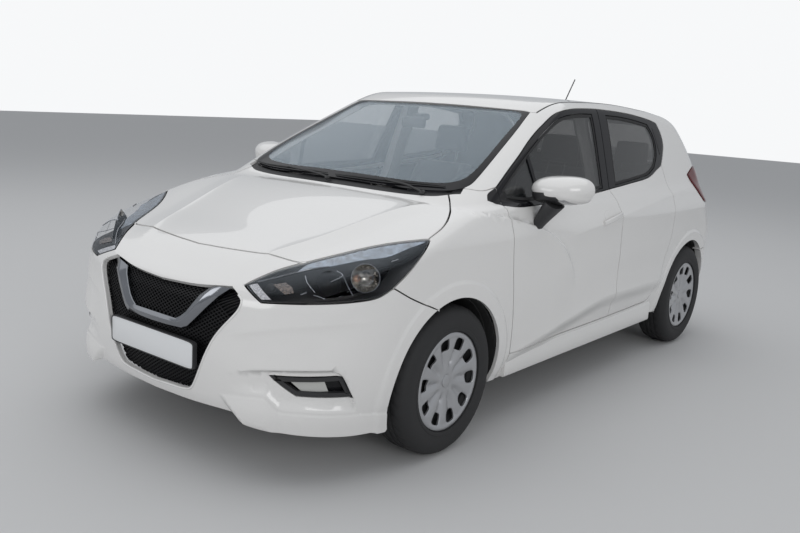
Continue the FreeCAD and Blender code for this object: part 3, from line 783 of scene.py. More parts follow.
world = bpy.data.worlds.new("studio")
bpy.context.scene.world = world
world.use_nodes = True
tree = world.node_tree
light_path = add_node(tree, "LightPath")
seen = add_node(tree, "Math")
seen.operation = "MAXIMUM"
sky = tree.nodes["Background"]
sky.inputs["Color"].default_value = (0.90, 0.93, 0.97, 1)
sky.inputs["Strength"].default_value = 0.50
plain = add_node(tree, "Background", Color=(0.93, 0.94, 0.95, 1), Strength=1.0)
mix = add_node(tree, "MixShader")
wire(tree, (light_path, "Is Camera Ray", seen, 0), (light_path, "Is Transmission Ray", seen, 1),
     (seen, 0, mix, "Fac"), (sky, 0, mix, 1), (plain, 0, mix, 2),
     (mix, 0, tree.nodes["World Output"], "Surface"))
floor_paint = finish("studio floor", None, (0.60, 0.60, 0.60), 0.8, 6, 0.0006, (0.75, 0.85))
corners = np.array([(-30, -30, 0), (30, -30, 0), (30, 30, 0), (-30, 30, 0)])
floor = add_mesh("floor", corners, [(0, 1, 2, 3)], floor_paint)

# %% [markdown]
# The seams are drawn first. Each one is named once and used by the panel on either side of it.

# %% Seams of the nose
bonnet_nose = seam(TOP, [(0, 226), (150, 238), (300, 258), (428, 276), (508, 284)],
    [(508, 284), (530, 300)])
bonnet_lamp = seam(TOP, [(530, 300), (637, 491), (700, 568), (800, 663)])
bonnet_wing = seam(TOP, [(800, 663), (783, 777), (716, 909), (655, 992), (613, 1036)])
bonnet_cowl = seam(TOP, [(613, 1036), (560, 1010), (440, 985), (300, 970), (150, 963), (0, 960)])
lamp_top_front = seam(TOP, [(524, 289), (462, 195), (400, 105)])
lamp_front = seam_through([(400, 105, 723), (511, 94, 678)])
lamp_under = seam_through(
    [(511, 94, 678), (600, 122, 686), (697, 195, 695), (765, 285, 703), (815, 373, 715), (830, 429, 740)])
lamp_rear = seam_through([(830, 429, 740), (841, 515, 798), (825, 600, 856), (800, 663, 892)])
wing_bumper = seam(SIDE, [(434, 743), (521, 697), (690, 626)])


def arch(centre, radius, start, end):
    """A wheel arch edge between two angles, in degrees from straight back, turning upwards."""
    angles = np.radians(np.linspace(start, end, 48))
    return np.stack([centre[0] + radius * np.cos(angles), centre[1] + radius * np.sin(angles)], 1)


front_arch = seam(SIDE, arch(front_wheel, 346, -14.7, 111.7))
front_arch_nose = seam(SIDE, arch(front_wheel, 346, 111.7, 201.5))
rear_arch = seam(SIDE, arch((3334, 306), 352, 49.5, 191))
rear_arch_tail = seam(SIDE, arch((3334, 306), 352, -16, 49.5))
bumper_low = seam_through(
    [(766, 500, 190), (763, 460, 196), (756, 411, 204), (640, 230, 231), (464, 83, 240)],
    [(464, 83, 240), (416, 65, 249)], [(416, 65, 249), (200, 40, 244), (0, 35, 243)])
print("seam points:", len(bonnet_nose) + len(bonnet_lamp) + len(bonnet_wing) + len(bonnet_cowl))


# %% Bonnet
bonnet_loop = whole(TOP, [bonnet_nose, bonnet_lamp, bonnet_wing, bonnet_cowl])
stations = np.arange(130, 1000, 7.0)
ridge = np.stack([330 + (stations - 200) * 0.40 - 60 * ease((stations - 300) / 700), stations], 1)
bonnet_lines = [ridge, ridge * [-1, 1]]
dress("bonnet_skin", panel_parts(TOP, bonnet_loop, depth=20, spacing=20, lines=bonnet_lines), white_paint,
    "bonnet", on="bonnet")

# %% [markdown]
# Each door is one pressing with its window frame. Below the waist it wears the body colour, and the
# frame round the glass is dark, so the panel is made as two sheets that meet at the waist line. A
# trim board closes the inside, and a rubber runs round the glass.

# %% Door seams
FRONT_DOOR = [
    [(1266, 336), (1254, 420), (1242, 508), (1222, 620), (1203, 740), (1196, 860), (1198, 925),
    (1203, 984), (1205, 1062)],
    [(1205, 1062), (1324, 1129), (1444, 1193), (1574, 1262), (1704, 1323), (1862, 1386), (2021, 1410),
    (2160, 1417), (2300, 1419)],
    [(2300, 1419), (2268, 1220), (2237, 1030)],
    [(2237, 1030), (2237, 950), (2241, 865), (2258, 681), (2272, 540), (2282, 405), (2284, 340)],
    [(2284, 340), (1266, 336)],
]
REAR_DOOR = [
    FRONT_DOOR[3][::-1],
    FRONT_DOOR[2][::-1],
    [(2300, 1419), (2520, 1413), (2741, 1400), (2960, 1376), (3046, 1360)],
    [(3046, 1360), (3082, 1300), (3086, 1240), (3050, 1184), (2990, 1120)],
    [(2990, 1120), (3007, 1062), (3010, 1000), (3011, 925), (3006, 850), (2980, 720), (2935, 600),
    (2908, 490), (2860, 392), (2830, 361), (2790, 344)],
    [(2790, 344), (2284, 340)],
]
FRONT_GLASS = [
    [(1262, 1018), (1235, 1050)],
    [(1235, 1050), (1350, 1118), (1460, 1178), (1590, 1245), (1718, 1305), (1872, 1362), (2030, 1384),
    (2120, 1389), (2222, 1390)],
    [(2222, 1390), (2162, 1026)],
    [(2162, 1026), (2000, 1017), (1800, 1012), (1600, 1006), (1400, 1004), (1262, 1018)],
]
REAR_GLASS = [
    [(2318, 1036), (2384, 1388)],
    [(2384, 1388), (2560, 1383), (2735, 1370), (2850, 1357), (2905, 1350)],
    [(2905, 1350), (2950, 1295), (2965, 1240), (2945, 1175), (2880, 1112)],
    [(2880, 1112), (2780, 1078), (2640, 1062), (2500, 1050), (2318, 1036)],
]
waist_front = [(1203, 992), (1300, 982), (1400, 981), (1700, 990), (2054, 1004), (2237, 1017)]
waist_rear = [(2237, 1017), (2500, 1036), (2785, 1062), (2921, 1101), (2990, 1120)]
waist = smooth_column([p[0] for p in waist_front + waist_rear[1:]],
    [p[1] for p in waist_front + waist_rear[1:]])


def cut_at(points, line, keep_above):
    """The part of a side seam that lies above or below a line that runs along the car."""
    over = points[:, 2] > line(points[:, 1])
    return points[over if keep_above else ~over]


front_a = seam(SIDE, FRONT_DOOR[0])
front_b = seam(SIDE, *FRONT_DOOR[2:4])
front_top = seam(SIDE, FRONT_DOOR[1])
front_sill = seam(SIDE, FRONT_DOOR[4])
waist_f = seam(SIDE, waist_front)
waist_r = seam(SIDE, waist_rear)
rear_a = seam(SIDE, *REAR_DOOR[0:2])
rear_top = seam(SIDE, REAR_DOOR[2])
rear_b = seam(SIDE, *REAR_DOOR[3:5])
rear_sill = seam(SIDE, REAR_DOOR[5])


def crease(run):
    """A pressed line of the side, as a line in the view round the car."""
    return around_flat(*meet(SIDE, run)[0].T)


along = np.arange(1190, 3690, 7.0)
heights = np.arange(540, 1010, 7.0)
side_creases = [
    crease(np.stack([along[along > 1560], shoulder_line(along[along > 1560])], 1)),
    crease(np.stack([along[along < 3020], low_line(along[along < 3020])], 1)),
    crease(np.stack([wing_line(heights), heights], 1)),
    crease(arch(front_wheel, 410, -10, 112)), crease(arch(rear_wheel, 410, -8, 186)),
]

# %% Door panels
front_skin_loop = outline(AROUND, cut_at(front_a, waist, False), waist_f, cut_at(front_b, waist, False),
    front_sill)
front_frame_loop = outline(AROUND, waist_f[::-1], cut_at(front_a, waist, True), front_top,
    cut_at(front_b, waist, True))
rear_skin_loop = outline(AROUND, cut_at(rear_a, waist, False), waist_r, cut_at(rear_b, waist, False),
    rear_sill)
rear_frame_loop = outline(AROUND, waist_r[::-1], cut_at(rear_a, waist, True), rear_top,
    cut_at(rear_b, waist, True))
front_glass_loop = outline(AROUND, seam(SIDE, *FRONT_GLASS))
rear_glass_loop = outline(AROUND, seam(SIDE, *REAR_GLASS))
for where, skin, frame_edge, glass in (
    ("front", front_skin_loop, front_frame_loop, front_glass_loop),
    ("rear", rear_skin_loop, rear_frame_loop, rear_glass_loop),
):
    each_side("door_skin_" + where, panel_parts(AROUND, skin, depth=26, lines=side_creases), white_paint,
        where, node="door_" + where)
    board = panel_parts(AROUND, offset_loop(skin, -20), depth=22, sunk=27, gap=0)
    each_side("door_trim_" + where, board, dash_plastic, where)
    surround = panel_parts(AROUND, frame_edge, [offset_loop(glass, 1)], depth=26, sunk=1)
    each_side("door_frame_" + where, surround, black_gloss, where)
    ring = panel_parts(AROUND, glass, [offset_loop(glass, -13)], depth=10, sunk=3.0, gap=0, edge=3)
    each_side("glass_seal_" + where, ring, rubber, where)
    pane = panel_parts(AROUND, offset_loop(glass, -4), depth=4, sunk=7, gap=0)
    each_side("door_pane_" + where, pane, side_glass, where, node="door_glass_" + where)

# %% Seams of the windscreen, roof and tail
screen_low = seam(TOP, [(645, 1096), (628, 1080), (600, 1062), (530, 1040), (440, 1022), (300, 1010),
    (150, 1005), (0, 1003)])
screen_side = seam(TOP, [(645, 1096), (657, 1130), (652, 1216), (600, 1520), (548, 1760)])
screen_top = seam(TOP, [(548, 1760), (300, 1744), (0, 1738)])
cowl_tip = seam(TOP, [(613, 1036), (655, 1060)], [(655, 1060), (645, 1096)])
gutter = seam(TOP, [(577, 1772), (577, 2500), (577, 3290)])
gutter_front = seam(TOP, [(548, 1760), (577, 1772)])
roof_rear = seam(TOP, [(577, 3290), (300, 3290), (0, 3290)])
pillar_low = seam_through([(645, 1096, 1048), (700, 1130, 1044), (742, 1205, 1064)])
door_tops = seam(SIDE, *FRONT_DOOR[1:2], *REAR_DOOR[2:3])
door_rear_edge = seam(SIDE, *REAR_DOOR[3:5])
door_bottoms = seam(SIDE, [(2790, 344), (2284, 340)], [(2284, 340), (1266, 336)])
sill_front = seam(SIDE, [(1266, 336), (1266, 214)])
sill_low = seam(SIDE, [(1266, 214), (1800, 231), (2761, 252), (2985, 250)])
tail_upper = GATE[1](*seam(TAIL, [(609, 1110), (609, 1200), (604, 1290)]).T)
gate_high = seam(GATE, np.vstack([[(577, 1070), (590, 1045), (600, 960)], tail_upper[::-1]]))
lamp_loop_front = seam(SIDE, [(3480, 1090), (3390, 1056)], [(3390, 1056), (3466, 960), (3560, 890)])
lamp_over = seam_through([(613, 3850, 1110), (700, 3700, 1110), (742, 3560, 1110), (748, 3480, 1090)])
lamp_below = seam_through([(835, 3560, 890), (820, 3740, 868), (613, 3900, 868)])
gate_mid = seam(TAIL, [(609, 868), (606, 800), (600, 760), (585, 700), (560, 640)],
    [(560, 640), (490, 612), (420, 596)])
quarter_low = seam_through(
    [(420, 3965, 592), (600, 3930, 592), (800, 3780, 592), (858, 3700, 592)],
    [(858, 3700, 592), (858, 3563, 573)])

side_loop = outline(
    AROUND, sill_front[::-1], door_bottoms[::-1], door_rear_edge[::-1], door_tops[::-1], pillar_low[::-1],
    screen_side, gutter_front, gutter, gate_high, lamp_over, lamp_loop_front, lamp_below, gate_mid,
    quarter_low, rear_arch, sill_low[::-1],
)
side_frame = panel_parts(AROUND, side_loop, depth=46, spacing=20, lines=side_creases)
dress("side_frames", both(side_frame), white_paint, "body_shell")

wing_loop = outline(AROUND, wing_bumper[::-1], lamp_rear, bonnet_wing, cowl_tip, pillar_low, front_a[::-1],
    sill_front, seam(SIDE, [(1266, 214), (1153, 220)]), front_arch)
dress("wing_skins", both(panel_parts(AROUND, wing_loop, depth=16, lines=side_creases)), white_paint,
    "front_wings")

# %% Front bumper
GRILLE_SIDE = [(359, 707), (400, 690), (430, 671), (428, 645), (343, 531), (221, 306), (180, 293),
    (103, 289), (0, 283)]
grille_edge = seam(NOSE, [(0, 682), (195, 690), (312, 702), (359, 707)], GRILLE_SIDE)
fog_edge = seam(NOSE, [(566, 424), (761, 434)], [(761, 434), (778, 350)], [(778, 350), (647, 357)],
    [(647, 357), (566, 424)])
half_bumper = [bumper_low[::-1], front_arch_nose[::-1], wing_bumper[::-1], lamp_under[::-1],
    lamp_front[::-1], lamp_top_front[::-1],
    bonnet_nose[::-1]]
bumper_loop = whole(AROUND, half_bumper)
grille_loop = whole(AROUND, [grille_edge])
fog_loops = [outline(AROUND, fog_edge), outline(AROUND, other(fog_edge))]


def nose_line(column, start, end):
    """A crease of the bumper in the flat view, from its (unrolled place, height) column."""
    u = np.arange(start, end, 7.0)
    a = (900 - u) / 900
    x, s = 800 * np.cos(a), 900 - 800 * np.sin(a)
    for _ in range(4):
        flat = np.stack([u, 800 * np.arctan2(column(u) - FAN_HEIGHT, np.hypot(x, 900 - s))], 1)
        x, s = meet(AROUND, flat)[0][:, :2].T
    return flat


def flipped(flat):
    """A flat line of the view round the car, on the car's other side."""
    return np.stack([2 * (FRONT_FAN - 900 * np.pi / 2) - flat[:, 0], flat[:, 1]], 1)


creases = [
    nose_line(blade_line, -170, 480), nose_line(pocket_top, -60, 235),
    nose_line(lamp_crease, -150, 420), nose_line(smooth_column([-163, -60], [316, 199]), -160, -64),
    np.array([[345, -370], [333, -330], [318, -300], [300, -270], [282, -250], [262, -238]], float),
]
creases.append(crease(arch(front_wheel, 410, 112, 190)))
creases += [flipped(line) for line in creases]
bumper = panel_parts(AROUND, bumper_loop, [grille_loop, *fog_loops], depth=20, spacing=13, edge=4,
    lines=creases)
dress("front_bumper_skin", bumper, white_paint, "front_bumper")

# %% Roof
roof_loop = whole(TOP, [screen_top[::-1], gutter_front, gutter, roof_rear])
dress("roof_skin", panel_parts(TOP, roof_loop, depth=14, spacing=30), white_paint)

# %% Windscreen
screen_loop = whole(TOP, [screen_low[::-1], screen_side, screen_top])
view_low = [(0, 1052), (300, 1060), (440, 1074), (560, 1106), (606, 1146), (616, 1216), (568, 1520),
    (524, 1722), (500, 1736), (240, 1722), (0, 1716)]
clear_loop = whole(TOP, [seam(TOP, view_low)])
dress("windscreen_border", panel_parts(TOP, screen_loop, [clear_loop], depth=5, sunk=1.5, gap=0.8),
    black_gloss, "windscreen")
dress("windscreen_pane", panel_parts(TOP, clear_loop, depth=5, sunk=1.5, gap=-0.6), screen_glass)

# %% Rear bumper and tailgate
rear_low = seam_through([(816, 3672, 210), (780, 3760, 215), (600, 3900, 225), (300, 3950, 230),
    (0, 3960, 230)])
under_gate = seam_through([(420, 3965, 592), (200, 3985, 592), (0, 3990, 592)])
rear_bumper_loop = whole(AROUND, [rear_low[::-1], rear_arch_tail, quarter_low[::-1], under_gate])
dress("rear_bumper_skin", panel_parts(AROUND, rear_bumper_loop, depth=40), white_paint, "rear_bumper")
gate_edge = [seam(TOP, [(0, 3290), (300, 3290), (577, 3290)]), gate_high,
    seam(TAIL, [(609, 1110), (609, 868)]), gate_mid, seam(TAIL, [(420, 596), (200, 596), (0, 596)])]
gate_loop = whole(GATE, gate_edge)
rear_screen_half = seam(TAIL, [(0, 1362), (300, 1359), (480, 1352)],
    [(480, 1352), (528, 1340), (548, 1270), (562, 1200), (556, 1130)],
    [(556, 1130), (480, 1112), (240, 1103), (0, 1100)])
rear_screen_loop = whole(GATE, [rear_screen_half])
dress("tailgate_skin", panel_parts(GATE, gate_loop, [rear_screen_loop], depth=30), white_paint, "tailgate",
    on="tailgate")
dress("rear_screen_pane", panel_parts(GATE, rear_screen_loop, depth=5, sunk=3, gap=0.5), side_glass,
    "rear_screen", on="tailgate")

# %% Lamp covers
lamp_loop = outline(AROUND, lamp_front, lamp_under, lamp_rear, bonnet_lamp[::-1], lamp_top_front)
dress("headlamp_covers", both(panel_parts(AROUND, lamp_loop, depth=3, gap=1.6, sunk=0.5)), lamp_glass,
    "headlamps")
lamp_black = finish("lamp housing", "black_gloss", (0.007, 0.007, 0.008), 0.5, 700, 0.00005, (0.42, 0.6))
lamp_wall = panel_parts(AROUND, lamp_loop, [offset_loop(lamp_loop, -7)], depth=92, gap=2.0, sunk=3)
dress("headlamp_walls", both(lamp_wall), lamp_black)
lamp_bed = panel_parts(AROUND, lamp_loop, depth=4, gap=4, sunk=92)
dress("headlamp_beds", both(lamp_bed), lamp_black)
tail_loop = outline(AROUND, lamp_over, lamp_loop_front, lamp_below)
dress("tail_lamp_covers", both(panel_parts(AROUND, tail_loop, depth=40, sunk=-9, edge=7, gap=1.6)),
    red_glass, "tail_lamps")

# %% [markdown]
# Trims, wipers and mesh bars are one profile pushed along a line that lies on the body, so a short
# helper sweeps a profile of (across, outwards) points along a line of points and directions.

# %% Swept trims
def turns(count):
    """Even angles of one turn."""
    return np.linspace(0, 2 * np.pi, count, endpoint=False)


def round_rod(radius, count=12, height=None):
    """The section of a round rod."""
    return [(radius * math.cos(k), (height or radius) * math.sin(k)) for k in turns(count)]


def grid_faces(rows, across, closed=False, turned=False):
    """Four-sided faces between rows of points that each close on themselves."""
    faces = []
    for i in range(rows if closed else rows - 1):
        j = (i + 1) % rows
        for m in range(across):
            o = (m + 1) % across
            corners = ((i, m), (j, m), (j, o), (i, o)) if turned else ((i, m), (i, o), (j, o), (j, m))
            faces.append([row * across + place for row, place in corners])
    return faces


def sweep(points, normals, profile, closed=False):
    """A closed skin from a profile pushed along a line. One direction may stand for all of them."""
    points = np.asarray(points, float)
    profile = np.asarray(profile, float)
    normals = np.broadcast_to(np.asarray(normals, float), points.shape)
    if closed:
        run = unit(np.roll(points, -1, axis=0) - np.roll(points, 1, axis=0))
    else:
        run = unit(np.gradient(points, axis=0))
    across = unit(np.cross(run, normals))
    out = np.cross(across, run)
    n, k = len(points), len(profile)
    skin = points[:, None] + across[:, None] * profile[:, :1] + out[:, None] * profile[:, 1:]
    faces = grid_faces(n, k, closed, turned=True)
    if not closed:
        faces.append(list(range(k)))
        faces.append([(n - 1) * k + m for m in range(k)][::-1])
    return skin.reshape(-1, 3), faces


def on_body(view, run, spacing=10.0):
    """A line on the body, with the directions out of it."""
    return meet(view, through([run], spacing, closed=False))


FLAT_BAR = [(-1, -1), (-1, 0.6), (-0.7, 1), (0.7, 1), (1, 0.6), (1, -1)]


def sized(profile, half_width, height):
    return [(a * half_width, b * height) for a, b in profile]


def rounded_section(half_x, half_z, power, count=56):
    """A closed curve between an ellipse, at power 2, and a box, at a high power."""
    c, d = np.cos(turns(count)), np.sin(turns(count))
    x = np.sign(c) * np.abs(c) ** (2 / power) * half_x
    return np.stack([x, np.sign(d) * np.abs(d) ** (2 / power) * half_z], 1)


def loft(sections):
    """A closed skin through sections that have the same number of points."""
    n, k = len(sections), len(sections[0])
    faces = grid_faces(n, k)
    faces.append(list(range(k))[::-1])
    faces.append([(n - 1) * k + m for m in range(k)])
    return np.vstack(sections), faces


# %% Grille
grille_black = finish("grille black", "black_plastic", (0.005, 0.005, 0.006), 0.4, 500, 0.00002,
    (0.35, 0.5), Specular_IOR_Level=0.25)
grille_back = panel_parts(AROUND, offset_loop(grille_loop, 4), depth=5, sunk=38, gap=0, spacing=30)
dress("grille_back", grille_back, grille_black, "grille")
GRILLE_CORNERS = [(0, 682), (195, 690), (359, 707), (430, 671), (428, 645), (343, 531), (221, 306),
    (103, 289), (0, 283)]
corners = np.array(GRILLE_CORNERS, float)
mesh_edge = offset_loop(np.vstack([corners, (corners[1:-1] * [-1, 1])[::-1]]), 14)
mesh_bars = []
for slope in (-1, 1):
    for start in np.arange(-900, 900, 24.0):
        x = np.arange(-430, 431, 6.0)
        line = np.stack([x, 290 + (x - start) * slope * 0.62], 1)
        within = inside(line, mesh_edge)
        if within.sum() > 3:
            first, last = np.flatnonzero(within)[[0, -1]]
            p, n = meet(NOSE, line[first:last + 1])
            mesh_bars.append(sweep(p - n * 30, n, sized(FLAT_BAR, 2.2, 3)))
trim("grille_mesh", mesh_bars, grille_black, angle=40)
dark_chrome = finish("dark chrome", "chrome_trim", (0.25, 0.26, 0.28), 0.12, 400, 0.00001, (0.09, 0.16),
    1.0)
BAR_OUTER = [(353, 704), (320, 670), (270, 615), (225, 566), (196, 537), (172, 524.5), (90, 520.5),
    (0, 519)]
BAR_INNER = [(255, 690), (228, 659), (202, 622), (176, 588), (152, 568), (127, 554.5), (64, 555.5),
    (0, 556)]


def bar_line(share, proud):
    """A line along the bar, at a share of its width from the outer edge, standing proud of the body."""
    half = np.array(BAR_OUTER) * (1 - share) + np.array(BAR_INNER) * share
    run = np.vstack([half, (half[:-1] * [-1, 1])[::-1]])
    p, n = meet(NOSE, run)
    return p + n * proud


bar_lines = [bar_line(f, h) for f, h in ((0, -26), (0, -7), (0.05, -4.5), (0.52, 4.5), (0.58, 4.5),
    (0.96, -8), (1, -11), (1, -30))]
trim("grille_bar_skin", [loft(np.array(bar_lines).swapaxes(0, 1))], dark_chrome, "grille_bar", angle=22)
lip_run = through([GRILLE_SIDE[1:]], 9.0, closed=False)
lip_run = np.vstack([lip_run, (lip_run[:-1] * [-1, 1])[::-1]])
lip_points, lip_out = meet(NOSE, offset_loop(lip_run, 2.5))
half_round = [(4.5 * math.cos(k), 3.2 * math.sin(k)) for k in np.linspace(0, math.pi, 9)] + [(-4.5, -4),
    (4.5, -4)]
trim("grille_lip", [sweep(lip_points[1:-1], lip_out[1:-1], half_round)], white_paint, angle=60)

# %% Fog lamps
bezel = panel_parts(AROUND, offset_loop(fog_loops[0], -1), [offset_loop(fog_loops[0], -13)], depth=16,
    sunk=-1.0, gap=0, edge=2.5)
dress("fog_bezels", both(bezel), black_plastic, "fog_lamps")
fog_back = panel_parts(AROUND, offset_loop(fog_loops[0], -10), depth=4, sunk=22, gap=0)
dress("fog_backs", both(fog_back), black_gloss)
fog_lens_edge = polygon(NOSE, (622, 418), (720, 424), (728, 372), (664, 370))
fog_lens = panel_parts(AROUND, fog_lens_edge, depth=5, sunk=9, gap=0, edge=3)
fog_glass = finish("fog lamp lens", "lamp_glass", (0.50, 0.50, 0.48), 0.15, 160, 0.0004, (0.1, 0.2),
    Coat_Weight=0.8)
dress("fog_lenses", both(fog_lens), fog_glass)

# %% [markdown]
# Behind the clear lamp cover stands a dark box with a bright bowl for the beam, a smaller dark bowl
# inboard of it, an amber lens, and a slanted bright strip at the front corner. The bowls are cut
# into small facets, which break the light up.

# %% Inside the headlamps
def across_facing(facing):
    """A direction at length one, and two directions square to it."""
    facing = unit(np.array(facing, float))
    flat_x = unit(np.cross(facing, (1.0, 0, 0) if abs(facing[2]) > 0.95 else (0, 0, 1.0)))
    return facing, flat_x, np.cross(flat_x, facing)


def bowl(centre, facing, radius, depth, facets=18, rings=7):
    """A faceted dish that faces along a direction."""
    facing, flat_x, flat_z = across_facing(facing)
    points = []
    for i in range(rings + 1):
        r = radius * i / rings
        back = depth * (1 - (r / radius) ** 2)
        for j in range(facets):
            a = 2 * np.pi * (j + 0.5 * (i % 2)) / facets
            points.append(centre - facing * back + (flat_x * np.cos(a) + flat_z * np.sin(a)) * r)
    faces = grid_faces(rings + 1, facets)
    shell = np.array(points)
    n = len(shell)
    faces += [[v + n for v in f][::-1] for f in faces]
    edge = [rings * facets + j for j in range(facets)]
    faces += [[j, k, n + k, n + j] for j, k in zip(edge, edge[1:] + edge[:1])]
    return np.vstack([shell, shell - facing * 2.5]), faces


def tube_ring(centre, facing, radius, thick, count=40, around=8):
    """A plain ring that faces along a direction."""
    _, flat_x, flat_z = across_facing(facing)
    a = turns(count)[:, None]
    out = flat_x * np.cos(a) + flat_z * np.sin(a)
    return sweep(np.array(centre) + out * radius, out, round_rod(thick, around), closed=True)


INWARD = np.array([-0.6314, 0.7467, -0.2093])


def behind(point, depth):
    """A place straight behind a point of the lamp cover, for someone who looks from the front corner."""
    return np.array(point, float) + INWARD * depth


def thread(points, depth, thick, facing=(0.7, -0.7, 0.2)):
    """A thin bright edge through places behind the cover."""
    line = through([[behind(p, depth) for p in points]], 6.0, closed=False)
    return sweep(line, facing, sized(FLAT_BAR, thick, thick * 0.6))


beam_facing = (0.66, -0.70, 0.20)
beam_centre = behind((786, 329, 785), 44)
bright_bowl = bowl(beam_centre, beam_facing, 50, 36, 26, 9)
# The reflector is real silver, but its colour is mottled at random from near black to bright: painted
# streaks of reflection.
bowl_silver_painted_streaks = finish("bowl silver with painted reflection streaks", "chrome_trim", (0.55, 0.54, 0.52), 0.10, 90, 0.0010, (0.06, 0.2), 1.0,
    tint=((0.04, 0.04, 0.038), (0.50, 0.48, 0.45)), detail=5.0)
trim("headlamp_bowls", two_sides([bright_bowl]), bowl_silver_painted_streaks, angle=10)
bulb_shade = bowl(behind((770, 300, 785), 50), beam_facing, 13, 8, 16, 4)
copper = finish("coated bulb", "chrome_trim", (0.36, 0.24, 0.18), 0.2, 150, 0.0004, (0.15, 0.3), 0.8)
trim("headlamp_bulbs", two_sides([bulb_shade]), copper, angle=10)
inner_centre = behind((694, 240, 762), 50)
dark_bowl = bowl(inner_centre, (0.60, -0.76, 0.16), 44, 30, 20, 7)
trim("headlamp_inner_bowls", two_sides([dark_bowl]), grille_black, slot="black_gloss", angle=10)
edges = [tube_ring(beam_centre, beam_facing, 51, 1.8), tube_ring(beam_centre, beam_facing, 27, 1.2)]
edges += [thread(*row) for row in (
    ([(599, 219, 774), (630, 197, 760), (664, 182, 749), (680, 188, 733)], 12, 1.6),
    ([(678, 184, 724), (694, 196, 719), (711, 209, 712)], 10, 1.5),
    ([(641, 158, 722), (657, 171, 731)], 10, 2.4),
    ([(711, 233, 771), (720, 282, 789), (681, 295, 796)], 14, 2.0),
    ([(722, 283, 789), (748, 283, 752), (771, 285, 725)], 14, 1.2),
    ([(795, 455, 832), (806, 480, 840)], 6, 2.2),
    ([(444, 134, 734), (498, 172, 755), (548, 215, 776), (591, 266, 793), (633, 304, 803)], 5, 2.6),
)]
trim("headlamp_bowl_rims", two_sides(edges), dark_chrome, angle=40)


def lamp_patch(points, sunk):
    """A flat piece behind the lamp cover, from its corners on the cover."""
    edge = outline(AROUND, seam_through(*[[a, b] for a, b in zip(points, points[1:] + points[:1])]))
    return both(panel_parts(AROUND, edge, depth=6, sunk=sunk, gap=0, spacing=9, edge=1.5))


strip_white = finish("lamp strip", "lamp_glass", (0.50, 0.50, 0.52), 0.25, 160, 0.0006, (0.2, 0.4),
    tint=((0.30, 0.30, 0.32), (0.62, 0.62, 0.64)), Coat_Weight=0.6)
strip = lamp_patch([(416, 118, 725), (444, 134, 734), (545, 105, 694), (508, 94, 688)], 6)
dress("daylight_strips", strip, strip_white)
amber = finish("turn lamp lens", "lamp_glass", (0.12, 0.085, 0.07), 0.15, 120, 0.0008, (0.1, 0.3), 0.5,
    tint=((0.025, 0.018, 0.016), (0.16, 0.12, 0.10)), Coat_Weight=0.5)
lens = lamp_patch([(504, 153, 743), (542, 176, 755), (586, 165, 745), (613, 144, 728), (586, 128, 719)], 12)
dress("turn_lamps", lens, amber)
lip_line = [(548, 215, 776), (591, 266, 793), (633, 304, 803), (702, 403, 827), (766, 476, 843),
    (789, 570, 870), (798, 640, 886)]
lip_edge = outline(AROUND, seam_through(lip_line), bonnet_lamp[::-1])
# A real lip band under the top of the lamp cover. Its blue-grey colour is a painted reflection of the sky.
painted_sky_band = finish("lamp upper band with painted sky reflection", "lamp_glass", (0.20, 0.25, 0.31), 0.12, 40, 0.0002, (0.08, 0.16), 0.6,
    tint=((0.10, 0.12, 0.15), (0.26, 0.32, 0.40)), Coat_Weight=0.8)
dress("headlamp_bands", both(panel_parts(AROUND, lip_edge, depth=3, sunk=4, gap=3, spacing=12)), painted_sky_band)

# %% [markdown]
# The door mirror is a smooth shell whose front is rounded like a pebble. Its back is open and
# holds the mirror glass, and a dark foot carries it on the door. The shell is drawn as rounded
# sections that shrink towards the front.

# %% Door mirrors
def mirror_sections(depths, shrink=0.0):
    """Sections of the mirror shell from its rounded front (depth 0) to its open back (depth 1)."""
    out = []
    for d in depths:
        grow = (1 - (1 - d) ** 2.3) ** (1 / 2.3)
        section = rounded_section(132 * grow - shrink, 70 * grow - shrink, 3.0)
        x, z = section[:, 0], section[:, 1]
        z = z + 0.06 * x - 5 * (x / 142) ** 2
        low = 0.80 + 0.20 * (z > 0)
        x = 914 + x * (1 + 0.03 * np.sign(z)) + 8 * (1 - d)
        s = 1368 + 122 * d + 0.18 * (x - 926)
        out.append(np.stack([x, s + 0 * x, 1052 + z * low], 1))
    return out


shell_depths = [0.0005, 0.01, 0.04, 0.09, 0.16, 0.26, 0.38, 0.52, 0.68, 0.84, 0.96, 1.0]
cap_skin = loft(mirror_sections(shell_depths) + mirror_sections([1.0, 0.9], 5.0))

each_side("mirror_shell", [cap_skin], white_paint, node="mirror")
glass_sections = [m + np.array([0, 4.0, 0]) for m in mirror_sections([0.93], 8.0)]
glass_sections.append(glass_sections[0] + np.array([0, 4.0, 0]))
mirror_silver = finish("mirror glass", "chrome_trim", (0.75, 0.77, 0.8), 0.03, 300, 0.000005, (0.02, 0.05),
    1.0)
each_side("mirror_glass", [loft(glass_sections)], mirror_silver, angle=40)
foot = []
for f in np.linspace(0, 1, 11):
    section = rounded_section(30 + 34 * ease(f), 22 + 14 * f, 2.8, 36)
    x = 838 + 66 * f + section[:, 1] * 0.8
    z = 884 + 116 * f ** 0.9 - section[:, 1] * 0.5
    foot.append(np.stack([x, 1400 + 34 * f + section[:, 0], z], 1))
each_side("mirror_foot", [loft(foot)], black_plastic)


def mirror_belt(low, high, proud, start, end):
    """A band round the front of the shell, between two angles and two shares of its depth."""
    rows = []
    for d in np.linspace(start, end, 16):
        section = mirror_sections([d])[0]
        middle = section.mean(axis=0)
        angle = np.arctan2(section[:, 2] - middle[2], section[:, 0] - middle[0])
        order = np.argsort(angle)
        want = np.radians(np.linspace(low, high, 36))
        strip = np.stack([np.interp(want, angle[order], section[order, i]) for i in range(3)], 1)
        away = strip - middle
        away[:, 1] = -14 * (1 - d)
        away /= np.linalg.norm(away, axis=1)[:, None]
        rows.append(np.vstack([strip + away * proud, (strip - away * 2)[::-1]]))
    return loft(rows)


